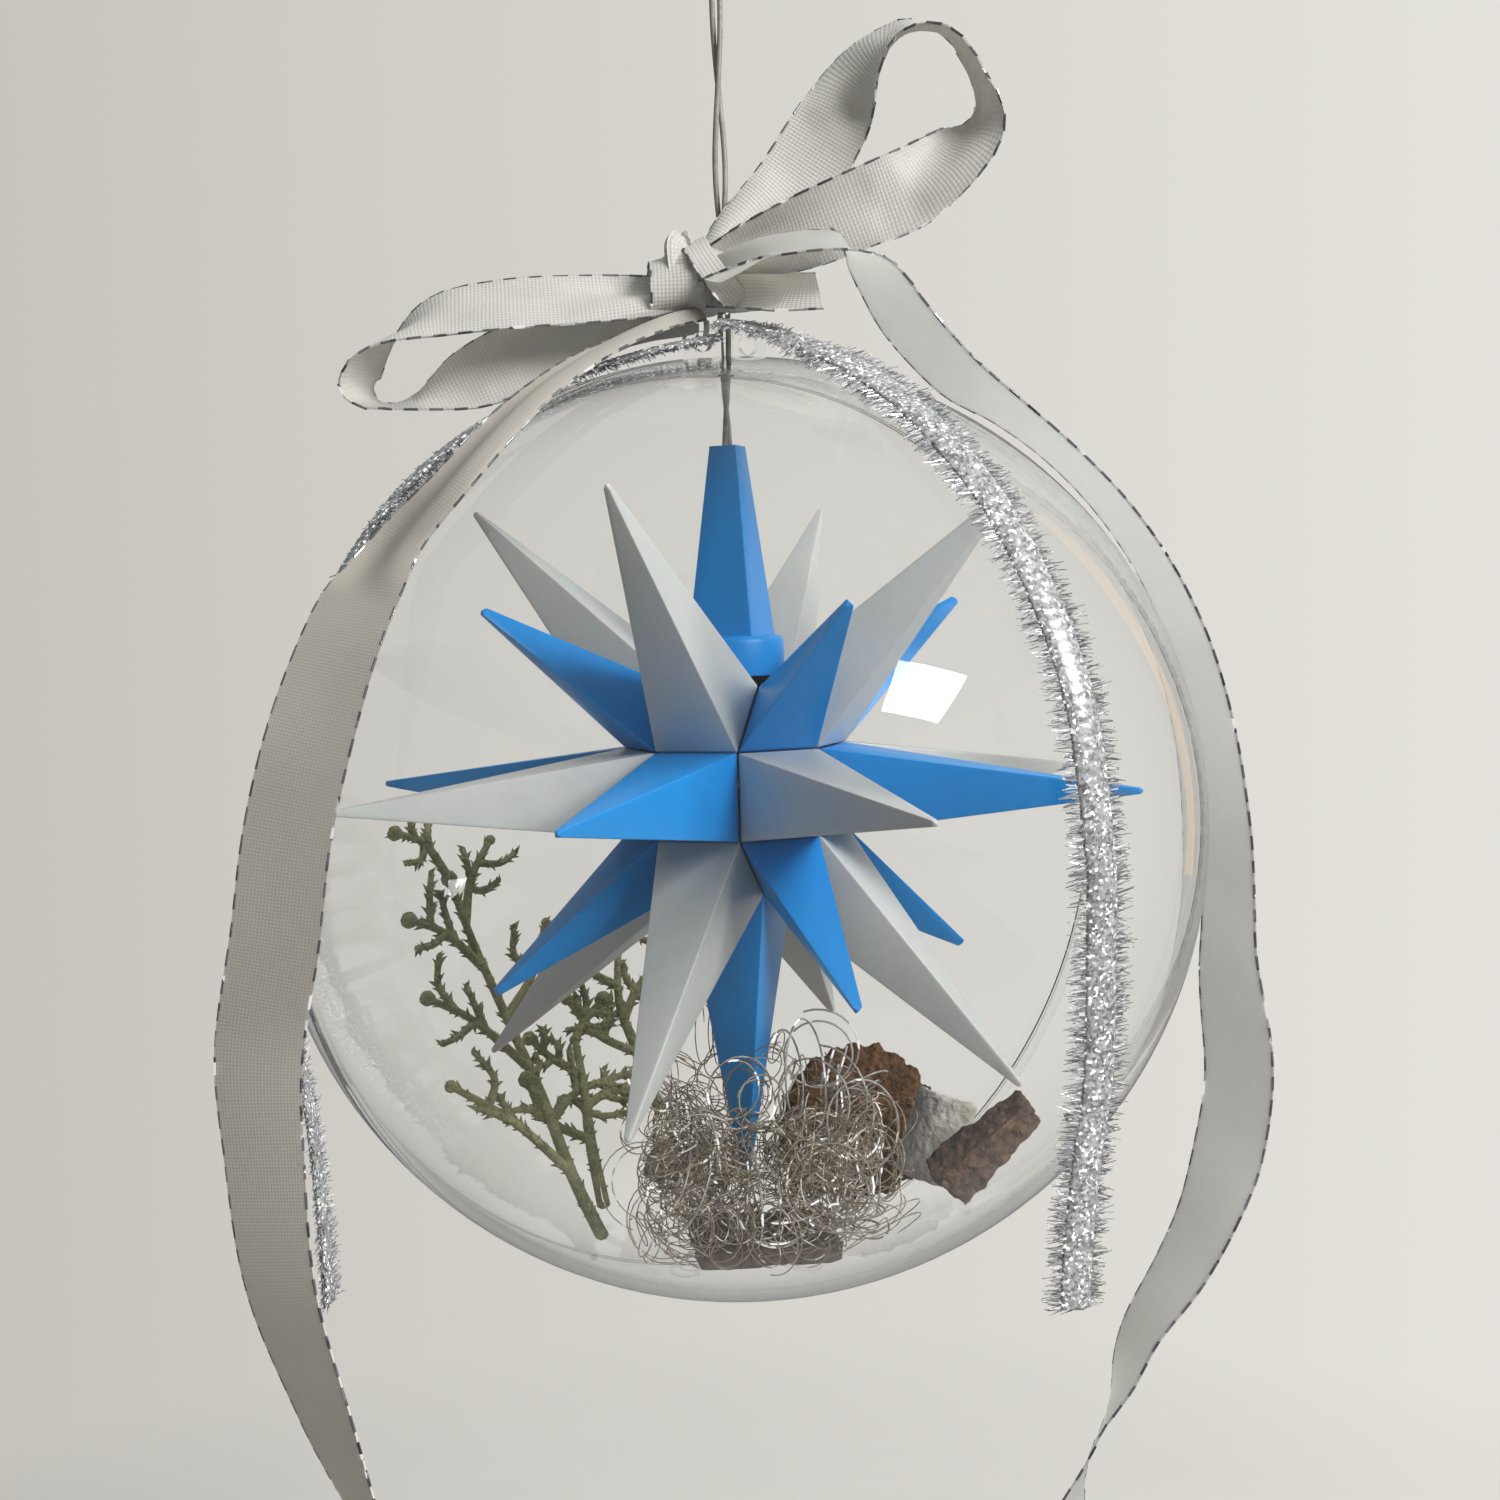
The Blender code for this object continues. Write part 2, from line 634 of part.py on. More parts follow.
RIGHT_LOOP = (
    ((-1, -4.5, 14), (0.3, 0, -0.2)),
    ((3.5, -3.6, 18.5), (0.6, -0.05, -0.35)),
    ((10.9, -2.5, 26), (0.86, -0.1, -0.5)),
    ((17.4, -2.5, 35.6), (0.87, -0.2, -0.45)),
    ((20.7, -3.5, 41.5), (0.62, -0.68, -0.38)),
    ((25, -5, 46.4), (0.3, -0.88, -0.35)),
    ((30, -6, 48.6), (0.15, -0.94, -0.28)),
    ((36, -7, 46.6), (0.05, -0.98, -0.15)),
    ((40, -8, 39.5), (0.05, -0.99, -0.1)),
    ((38.8, -9.5, 32), (0.4, -0.75, -0.5)),
    ((29.5, -11, 24.2), (0.5, -0.3, -0.8)),
    ((20.8, -11.5, 20.6), (0.5, -0.1, -0.86)),
    ((12.5, -10.5, 17.6), (0.4, 0, -0.75)),
    ((4, -8, 15.2), (0.25, 0, -0.45)),
    ((-1, -6.5, 13.6), (0.15, 0, -0.3)),
)
CUT_END = (
    ((-1.5, -8, 8.8), (0, 0.38, 0.26)),
    ((3, -11.4, 8.6), (0, 0.6, 0.4)),
    ((9, -14.3, 8.2), (0, 0.84, 0.54)),
    ((14.5, -16.9, 7.8), (0.05, 0.85, 0.52)),
)
LEFT_TAIL = (
    (-131, 83.5, 8, 0, 0.4),
    (-133, 78, 5.6, 0, 0.8),
    (-134, 70, 4.4, 0),
    (-133, 60, 3.6, 0),
    (-133, 52, 3.2, 3),
    (-134, 44, 3, 4),
    (-137, 36, 3.2, 10),
    (-136, 29, 5.1, 24),
    (-135, 22, 6.6, 30),
    (-135, 13, 7.8, 40),
    (-136, 4, 8.8, 43),
    (-137, -5, 10.4, 46),
    (-139, -15, 14.6, 46),
    (-139, -23, 18.9, 36),
    (-138, -33, 27, 26),
    (-136, -42, 34.6, 14),
    (-134, -48, 41.5, 2),
    (-131, -53, 49.2, -6),
)
RIGHT_TAIL = (
    (-105.9, 85.2, 12.5, -24, 0.35),
    (-78.8, 81.6, 14.3, -22, 0.6),
    (-65.8, 79.1, 16.3, -18, 0.9),
    (-54.6, 76.4, 17.6, -16),
    (-45.9, 73.7, 18.1, -6),
    (-37, 71.4, 15.3, 14),
    (-30.4, 67.4, 9.4, 44),
    (-25, 61, 5, 42),
    (-21, 55, 4, 30),
    (-16, 48, 3.5, 24),
    (-10, 40, 3.3, 22),
    (-6, 31, 3.2, 22),
    (-3, 21, 3.2, 23),
    (-1, 10, 3.3, 25),
    (0, -1, 4.2, 29),
    (-1, -10, 5.6, 31),
    (-1, -18, 8.4, 38),
    (-3, -27, 15, 49),
    (-4, -34, 19.6, 51),
    (-6, -40, 22.7, 38),
    (-8, -46, 25.4, 29),
    (-11, -52, 28, 16),
    (-13, -56, 32.6, 6),
    (-14, -60, 38, -12),
    (-17, -64, 44.6, -25),
    (-18, -68, 55.9, -40),
)


def build_ribbon(parent, satin):
    middle = Vector((*KNOT_OFFSET, KNOT_HEIGHT))
    knot = add_mesh("ribbon_knot", ellipsoid(KNOT_SIZE), parent, satin, smooth=True)
    knot.location = middle
    wrap = helper("knot_wrap", ellipsoid(KNOT_WRAP_SIZE), parent)
    wrap.location = middle
    wrap.rotation_euler = (0, KNOT_WRAP_TILT, 0)
    combine(knot, wrap, "UNION")
    passage = helper("knot_passage", cylinder(CABLE_HOLE_DIAMETER / 2, 0, KNOT_HEIGHT), parent)
    passage.location = (0, 0, KNOT_HEIGHT / 2)
    combine(knot, passage, "DIFFERENCE")

    room = tuple(size + 2 * CLEARANCE for size in KNOT_SIZE)
    knot_room = helper("knot_room", ellipsoid(room), parent)
    knot_room.location = middle
    wrap_room = helper("wrap_room", ellipsoid(tuple(size + 2 * CLEARANCE for size in KNOT_WRAP_SIZE)), parent)
    wrap_room.location = middle
    wrap_room.rotation_euler = wrap.rotation_euler
    for name, bm in (
        ("ribbon_left_loop", bow_strip(LEFT_LOOP)),
        ("ribbon_right_loop", bow_strip(RIGHT_LOOP)),
        ("ribbon_cut_end", bow_strip(CUT_END)),
        ("ribbon_left_tail", tail_strip(LEFT_TAIL)),
        ("ribbon_right_tail", tail_strip(RIGHT_TAIL)),
    ):
        piece = add_mesh(name, bm, parent, satin)
        combine(piece, knot_room, "DIFFERENCE")
        combine(piece, wrap_room, "DIFFERENCE")


def build_tie(parent, satin):
    """The twisted bit of ribbon that carries the ball: down in front of the front ear, through its eye and up again."""
    eye_height = BALL_RADIUS + EAR_HEIGHT - EAR_WIDTH / 2
    top = BALL_RADIUS + EAR_HEIGHT
    bend = EAR_EYE_DIAMETER / 4
    route = (
        (TIE_FRONT_REACH, top),
        (TIE_FRONT_REACH, eye_height + 2 * bend),
        (TIE_FRONT_REACH - bend, eye_height + bend / 3),
        ((TIE_FRONT_REACH - TIE_BACK_REACH) / 2, eye_height),
        (bend - TIE_BACK_REACH, eye_height + bend / 3),
        (-TIE_BACK_REACH, eye_height + 2 * bend),
        (-TIE_BACK_REACH, top),
    )
    points = [seam_place(-EAR_OFFSET, out, height) for out, height in route]
    wire("ribbon_tie", spline(points, 3), TIE_DIAMETER, parent, satin, bevel_resolution=1)


# The tinsel braid

TINSEL_RIGHT = (
    (-88, 80.5, 1.6, 0),
    (-53, 75, 1.4, 0),
    (-50, 66, 1.2, 0),
    (-51.5, 53, 1.2, 0),
    (-51, 37, 1.2, 0),
    (-50.5, 19, 1.2, 0),
    (-50.5, 2, 1.2, 0),
    (-50, -9, 1.6, 4),
    (-50, -21, 6, 10),
    (-51, -28, 9.6, 14),
    (-52, -34, 14.4, 16),
    (-52.5, -39.5, 20.5, 18),
)
TINSEL_LEFT = (
    (-93, 80.5, 1.6, 0),
    (-133, 75.5, 1.4, 0),
    (-146, 66, 1.2, 0),
    (-152.5, 53, 1.2, 0),
    (-153.5, 40, 1.2, 0),
    (-152.5, 24, 1.2, 0),
    (-151.5, 8, 1.3, 0),
    (-151, -5, 1.6, 0),
    (-149.5, -17, 3.4, 0),
    (-148.5, -26, 7, 0),
    (-148, -34, 12.8, 0),
    (-147.5, -41.5, 21.5, 0),
)


def even_steps(centres, directions, pitch):
    """The route read again at a steady pitch."""
    lengths = [0.0]
    for start, end in zip(centres, centres[1:]):
        lengths.append(lengths[-1] + (end - start).length)
    count = round(lengths[-1] / pitch)
    found = []
    span = 0
    for step in range(count + 1):
        at = lengths[-1] * step / count
        while span < len(lengths) - 2 and lengths[span + 1] < at:
            span += 1
        share = (at - lengths[span]) / (lengths[span + 1] - lengths[span])
        found.append((centres[span].lerp(centres[span + 1], share), directions[span].lerp(directions[span + 1], share)))
    return found


def fringed_braid(stations):
    """A flat core with a fringe of pointed strands along both edges, leaning alternately up and down."""
    route = even_steps(*ball_route(stations, 8), TINSEL_PITCH)
    half_core, half_thickness = TINSEL_CORE_WIDTH / 2, TINSEL_THICKNESS / 2
    centres = [centre for centre, across in route]
    bm = bmesh.new()
    rings = []
    frames = []
    for (centre, across), along in zip(route, tangents(centres)):
        across = (across - along * across.dot(along)).normalized()
        lift = along.cross(across)
        frames.append((across, lift))
        right, up = across * half_core, lift * half_thickness
        rings.append([bm.verts.new(centre + x * right + z * up) for x, z in ((1, 1), (-1, 1), (-1, -1), (1, -1))])
    for i, (low, high) in enumerate(zip(rings, rings[1:])):
        bm.faces.new((low[0], low[1], high[1], high[0]))
        bm.faces.new((low[2], low[3], high[3], high[2]))
        across, lift = frames[i]
        middle = (centres[i] + centres[i + 1]) / 2
        lean = lift * half_thickness * (0.6 if i % 2 else -0.2)
        for side, top, bottom in ((1, 0, 3), (-1, 1, 2)):
            tip = bm.verts.new(middle + across * side * (half_core + TINSEL_FRINGE) + lean)
            corners = (low[top], high[top], high[bottom], low[bottom])
            for j, corner in enumerate(corners):
                bm.faces.new((corner, corners[(j + 1) % 4], tip))
    bm.faces.new(rings[0])
    bm.faces.new(rings[-1])
    return bm


# The trimmings in the bottom of the ball


def settle(piece):
    """Lowers a piece until it rests just clear of the ball's inner face."""
    points = [piece.matrix_basis @ vertex.co for vertex in piece.data.vertices]
    drops = []
    for point in points:
        level = math.hypot(point.x, point.y)
        drops.append(point.z + math.sqrt(BALL_ROOM**2 - level**2))
    piece.location.z -= min(drops)


def rippled(bm, depth, scale):
    """Moves each point in or out by a smooth, repeatable ripple."""
    for vertex in bm.verts:
        x, y, z = vertex.co / scale
        ripple = math.sin(2.1 * x + 0.7) * math.sin(1.7 * y + 1.9) + 0.6 * math.sin(3.3 * z + 2.3 * x)
        vertex.co += vertex.co.normalized() * depth * ripple


def block(size, cuts):
    bm = bmesh.new()
    bmesh.ops.create_cube(bm, size=1)
    bmesh.ops.subdivide_edges(bm, edges=bm.edges, cuts=cuts, use_grid_fill=True)
    bmesh.ops.scale(bm, vec=size, verts=bm.verts)
    return bm


def place(piece, location, turn):
    piece.location = Vector(location) * MM
    piece.rotation_euler = [math.radians(angle) for angle in turn]
    bpy.context.view_layer.update()
    settle(piece)
    return piece


def build_bark_base(parent, bark):
    bm = block(BARK_BASE_SIZE, 3)
    for vertex in bm.verts:
        if vertex.co.z > 0:
            vertex.co.z += 0.35 * MM * math.sin(vertex.co.x / (2.2 * MM)) * math.cos(vertex.co.y / (3.1 * MM))
    return place(add_mesh("bark_base", bm, parent, bark), (2.5, -6.5, -60), (0, 0, 8))


def build_bark_disc(parent, bark):
    count = 2 * BARK_DISC_TEETH
    half = BARK_DISC_THICKNESS / 2
    rings = []
    for share, height in ((0.45, 1.25 * half), (0.86, half), (1.0, 0.2 * half), (0.92, -half)):
        ring = []
        for i in range(count):
            angle = math.tau * i / count
            radius = BARK_DISC_RADIUS * share * (1.0 if i % 2 else 0.93)
            ring.append((radius * math.cos(angle), radius * math.sin(angle), height))
        rings.append(ring)
    bm = bmesh.new()
    made = loft(bm, rings)
    bm.faces.new(made[0])
    bm.faces.new(made[-1])
    place(add_mesh("bark_disc", bm, parent, bark), (19, 19, -45), (62, 0, -12))


def build_chunk(parent, bark):
    bm = block(CHUNK_SIZE, 2)
    for vertex in bm.verts:
        taper = 1 - 0.22 * vertex.co.x / (CHUNK_SIZE[0] / 2)
        vertex.co.y *= taper
        vertex.co.z *= taper
    rippled(bm, 0.35 * MM, 3.5 * MM)
    place(add_mesh("driftwood_chunk", bm, parent, bark), (38.5, -7, -50), (15, -41, 4))


def build_chip(parent, pale):
    bm = block(CHIP_SIZE, 3)
    for vertex in bm.verts:
        vertex.co.z -= vertex.co.x**2 / (11 * MM)
    place(add_mesh("birch_chip", bm, parent, pale), (30.5, 4.5, -45), (78, 14, -30))


def build_lichen(parent, grey):
    bm = bmesh.new()
    bmesh.ops.create_icosphere(bm, subdivisions=2, radius=0.5)
    for vertex in bm.verts:
        x, y, z = vertex.co * 7
        vertex.co *= 1 + 0.13 * math.sin(2 * x + y) * math.sin(2 * y + z) + 0.08 * math.sin(3 * z + 2 * x)
    bmesh.ops.scale(bm, vec=LICHEN_SIZE, verts=bm.verts)
    place(add_mesh("lichen_tuft", bm, parent, grey), (-12, 24, -50), (-14, -16, 40))


def in_ball(azimuth, elevation, depth):
    """A place inside the ball, in degrees about its centre and a depth in from where a piece rests on it."""
    azimuth, elevation = math.radians(azimuth), math.radians(elevation)
    reach = BALL_ROOM - depth
    level = reach * math.cos(elevation)
    return Vector((level * math.cos(azimuth), level * math.sin(azimuth), reach * math.sin(elevation)))


def tapered(bm, points, radii, sides=5):
    """A closed round branch along points, as thick as radii say."""
    rings = []
    for point, radius, along in zip(points, radii, tangents(points)):
        right = along.orthogonal().normalized() * radius
        up = along.cross(right)
        rings.append([point + right * math.cos(a) + up * math.sin(a) for a in arc_angles(0, 360, sides)[:-1]])
    made = loft(bm, rings)
    bm.faces.new(made[0])
    bm.faces.new(made[-1])


def grow_sprig(name, stem, branch_length, foot_depth, parent, green):
    """A branching sprig that lies along the ball's inner face. stem holds azimuths and elevations in degrees."""
    places = [in_ball(*angles, foot_depth if i == 0 else SPRIG_DEPTH) for i, angles in enumerate(stem)]
    points = spline(places, 3)
    count = len(points)
    radii = [SPRIG_STEM_RADIUS * (1 - 0.5 * i / (count - 1)) for i in range(count)]
    stem_mesh = bmesh.new()
    tapered(stem_mesh, points, radii)
    sprig = add_mesh(name, stem_mesh, parent, green)

    reach = BALL_ROOM - SPRIG_DEPTH
    twigs = bmesh.new()

    def twig(root, heading, length, with_bud):
        tip = (root + heading * length).normalized() * reach
        shares = (0, 0.72, 0.84, 0.95, 1) if with_bud else (0, 1)
        widths = (0.9, 0.9, 2.0, 2.0, 0.8) if with_bud else (1, 1)
        tapered(twigs, [root.lerp(tip, share) for share in shares], [SPRIG_TWIG_RADIUS * width for width in widths])
        return tip

    for i in range(3, count):
        along = (points[min(i + 1, count - 1)] - points[i - 1]).normalized()
        side = along.cross(points[i].normalized()) * (1 if i % 2 else -1)
        heading = (0.55 * along + 0.85 * side).normalized()
        length = branch_length * (1.1 - 0.6 * i / count) * (1 if i % 2 else 0.55)
        fork = twig(points[i], heading, 0.55 * length, False)
        for lean in (0.5, -0.45):
            twig(fork - heading * SPRIG_TWIG_RADIUS, (heading + lean * along).normalized(), 0.5 * length, True)
    combine(sprig, helper(f"{name}_twigs", twigs, parent), "UNION")
    sprig.modifiers[-1].use_self = True


def least_gap(points, diameter):
    """The narrowest gap between two stretches of one wire that aren't neighbours along it."""
    apart = CURL_POINTS // 2
    nearest = min(
        (points[i] - points[j]).length for i in range(len(points)) for j in range(i + apart, len(points))
    )
    return nearest - diameter


def curled_wire(name, ring_radius, curl_radius, curls, start, end, rise, parent, metal):
    """One unbroken wire in curls along an arc about the axis. rise gives the curls' middle height at a radius."""
    points = []
    count = curls * CURL_POINTS
    for i in range(count + 1):
        share = i / count
        azimuth = math.radians(start + (end - start) * share)
        phase = math.tau * curls * share
        radius = curl_radius * (1 + 0.1 * math.sin(3.1 * azimuth + 0.5) + 0.06 * math.sin(7.3 * azimuth))
        sway = 0.12 * ring_radius * math.sin(2.3 * azimuth + 1.1)
        level = ring_radius + sway + radius * math.cos(phase)
        height = rise(ring_radius + sway, radius) + radius * math.sin(phase)
        points.append(Vector((level * math.cos(azimuth), level * math.sin(azimuth), height)))
    gap = least_gap(points, CURL_WIRE_DIAMETER)
    print(f"{name}: {curls} curls, least gap to itself {gap / MM:.2f} mm, limit {CURL_LEAST_GAP / MM:.2f} mm")
    wire(name, points, CURL_WIRE_DIAMETER, parent, metal, bevel_resolution=1)


def build_curls(base_top, parent, metal):
    rest = CURL_WIRE_DIAMETER / 2 + 2 * CLEARANCE

    def on_base(ring_radius, curl_radius):
        return base_top + rest + 1.16 * LOWER_CURL_RADIUS

    def on_lower(ring_radius, curl_radius):
        return base_top + 2 * rest + 2 * 1.16 * LOWER_CURL_RADIUS + 1.16 * UPPER_CURL_RADIUS

    def on_ball(ring_radius, curl_radius):
        return -math.sqrt((BALL_ROOM - rest - 1.16 * FRONT_CURL_RADIUS) ** 2 - ring_radius**2)

    curled_wire("wire_curls_lower", LOWER_CURL_RING, LOWER_CURL_RADIUS, 15, 20, 372, on_base, parent, metal)
    curled_wire("wire_curls_upper", UPPER_CURL_RING, UPPER_CURL_RADIUS, 14, -60, 290, on_lower, parent, metal)
    curled_wire("wire_curls_front", FRONT_CURL_RING, FRONT_CURL_RADIUS, 13, 226, 336, on_ball, parent, metal)


def build_trimmings(parent, finishes):
    base = build_bark_base(parent, finishes["bark"])
    base_top = base.location.z + max(vertex.co.z for vertex in base.data.vertices)
    build_bark_disc(parent, finishes["bark"])
    build_chunk(parent, finishes["bark"])
    build_chip(parent, finishes["birch"])
    build_lichen(parent, finishes["lichen"])
    left = ((190, -70), (160, -62), (143, -48), (140, -34), (141, -22), (143, -11))
    grow_sprig("sprig_left", left, LEFT_BRANCH_LENGTH, SPRIG_STEM_RADIUS, parent, finishes["sprig"])
    rear = ((112, -54), (114, -44), (115, -35), (113, -26))
    grow_sprig("sprig_rear", rear, REAR_BRANCH_LENGTH, SPRIG_STEM_RADIUS, parent, finishes["sprig"])
    build_curls(base_top, parent, finishes["silver"])


def main():
    clear_scene()
    finishes = {
        "blue": finish("star_blue", (0.045, 0.28, 0.76), 0.42),
        "white": finish("star_white", (0.83, 0.83, 0.8), 0.45),
        "black": finish("lamp_black", (0.02, 0.02, 0.022), 0.5),
        "lens": finish("lamp_lens", (0.95, 0.9, 0.75), 0.1, alpha=0.5),
        "clear": finish("ball_clear", (0.92, 0.94, 0.95), 0.04, alpha=0.15),
        "wire": finish("cable_pale", (0.72, 0.69, 0.63), 0.45),
        "silver": finish("silver", (0.75, 0.76, 0.78), 0.25, 1.0),
        "satin": finish("ribbon_satin", (0.72, 0.71, 0.69), 0.5),
        "bark": finish("bark_brown", (0.1, 0.055, 0.03), 0.9),
        "birch": finish("birch_pale", (0.55, 0.5, 0.44), 0.8),
        "lichen": finish("lichen_grey", (0.42, 0.42, 0.39), 0.95),
        "sprig": finish("sprig_green", (0.33, 0.36, 0.2), 0.8),
    }
    hang_point = empty("hang_point", (0, 0, 0))
    bauble_axis = empty("bauble_axis", (0, 0, -HANG_TO_STAR - BALL_DROP), hang_point)
    front_seam = empty("front_seam", (0, 0, 0), bauble_axis)
    rear_slide = empty("rear_half_slide", (0, 0, 0), bauble_axis)
    for seam in (front_seam, rear_slide):
        seam.rotation_euler = (math.radians(90), 0, SEAM_TURN)
    star_axis = empty("star_axis", (0, 0, BALL_DROP), bauble_axis)
    star_axis.rotation_euler = (0, 0, STAR_TURN)
    cable_axis = empty("inner_cable_axis", (0, 0, BALL_DROP), bauble_axis)
    lamp_slide = empty("lamp_cap_slide", (0, 0, 0), star_axis)

    build_hanger(hang_point, finishes["wire"], finishes["silver"])
    build_half("front_shell", front_profile(), -1, True, front_seam, finishes["clear"])
    build_half("rear_shell", rear_profile(), 1, False, rear_slide, finishes["clear"])
    build_star(star_axis, finishes["blue"], finishes["white"])
    build_lamp(lamp_slide, finishes["blue"], finishes["black"], finishes["lens"])
    build_inner_cable(cable_axis, finishes["wire"])
    build_ribbon(bauble_axis, finishes["satin"])
    build_tie(bauble_axis, finishes["satin"])
    add_mesh("tinsel_right", fringed_braid(TINSEL_RIGHT), bauble_axis, finishes["silver"])
    add_mesh("tinsel_left", fringed_braid(TINSEL_LEFT), bauble_axis, finishes["silver"])
    build_trimmings(bauble_axis, finishes)


main()
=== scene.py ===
"""Looks of the star bauble: a moulded star in a clear ball, with a ribbon bow, tinsel braid and dry trimmings.

Metres, +Z up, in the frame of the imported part. The origin is the inside top of the hanging loop.
"""

import enum
import functools
import logging
import random
from collections.abc import Iterable, Sequence
from dataclasses import dataclass, field
from math import asin, ceil, cos, exp, hypot, pi, radians, sin, sqrt, tau

import bmesh
import bpy
from bmesh.types import BMesh, BMVert
from bpy.types import Material, Node, NodeSocket as Socket, NodeTree as Tree, Object
from mathutils import Euler, Matrix, Vector, noise


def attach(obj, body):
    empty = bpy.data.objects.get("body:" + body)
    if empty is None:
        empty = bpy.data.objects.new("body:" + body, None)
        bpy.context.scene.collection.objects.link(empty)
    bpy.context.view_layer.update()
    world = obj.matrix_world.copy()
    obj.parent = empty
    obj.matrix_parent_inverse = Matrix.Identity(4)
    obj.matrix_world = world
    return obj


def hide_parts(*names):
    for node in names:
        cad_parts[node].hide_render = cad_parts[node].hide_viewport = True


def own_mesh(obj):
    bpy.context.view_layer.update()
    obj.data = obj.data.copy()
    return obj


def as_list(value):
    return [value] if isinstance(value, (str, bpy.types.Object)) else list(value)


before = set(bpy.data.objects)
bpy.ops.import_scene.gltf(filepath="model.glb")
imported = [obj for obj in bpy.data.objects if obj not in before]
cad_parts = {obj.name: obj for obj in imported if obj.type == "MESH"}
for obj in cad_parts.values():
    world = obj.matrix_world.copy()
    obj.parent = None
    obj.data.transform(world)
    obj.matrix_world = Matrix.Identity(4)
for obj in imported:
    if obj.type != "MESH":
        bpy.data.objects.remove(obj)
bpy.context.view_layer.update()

MM = 0.001
STAR_CENTRE = Vector((0.0, 0.0, -141.0 * MM))
BALL_CENTRE = Vector((0.0, 0.0, -147.2 * MM))
BALL_RADIUS = 74.0 * MM
BALL_WALL = 1.8 * MM
BALL_INSIDE = BALL_RADIUS - BALL_WALL
BALL_ROOM = 71.35 * MM  # where the trimmings rest
SEAM_TURN = radians(27.8)

LOG = logging.getLogger("star_bauble")
Colour = tuple[float, float, float]
Stations = Sequence[tuple[float, ...]]
Row = tuple[float, float, float, float]
Pair = tuple[float, float]
Points = Sequence[Vector]
Route = tuple[list[Vector], list[Vector]]
Sockets = dict[str, str]
Outputs = bpy.types.bpy_prop_collection
BLACK: Colour = (0.0, 0.0, 0.0)
WHITE: Colour = (1.0, 1.0, 1.0)
WIRE_SIDES = 10
JOIN_REACH = 2e-6
FLAT_ANGLE = radians(0.6)
AXES = ("use_axis_x", "use_axis_y", "use_axis_z")


class Slot(enum.Enum):
    """The record's material slots."""

    STAR_BLUE = "star_blue"
    STAR_WHITE = "star_white"
    LAMP_BLACK = "lamp_black"
    LAMP_LENS = "lamp_lens"
    BALL_CLEAR = "ball_clear"
    CABLE_PALE = "cable_pale"
    SLEEVE_METAL = "sleeve_metal"
    RIBBON_SATIN = "ribbon_satin"
    TINSEL_SILVER = "tinsel_silver"
    SPRIG_GREEN = "sprig_green"
    LICHEN_GREY = "lichen_grey"
    BARK_BROWN = "bark_brown"
    BIRCH_PALE = "birch_pale"
    CURL_WIRE = "curl_wire"


class Body(enum.Enum):
    """The moving bodies of the part."""

    HANGER = "hanger"
    BAUBLE = "bauble"
    REAR_HALF = "rear_half"
    STAR = "star"
    LAMP_CAP = "lamp_cap"


class Half(enum.Enum):
    """The two halves of the ball, by which side of the seam they stand on."""

    FRONT = 1
    REAR = -1


# Node trees


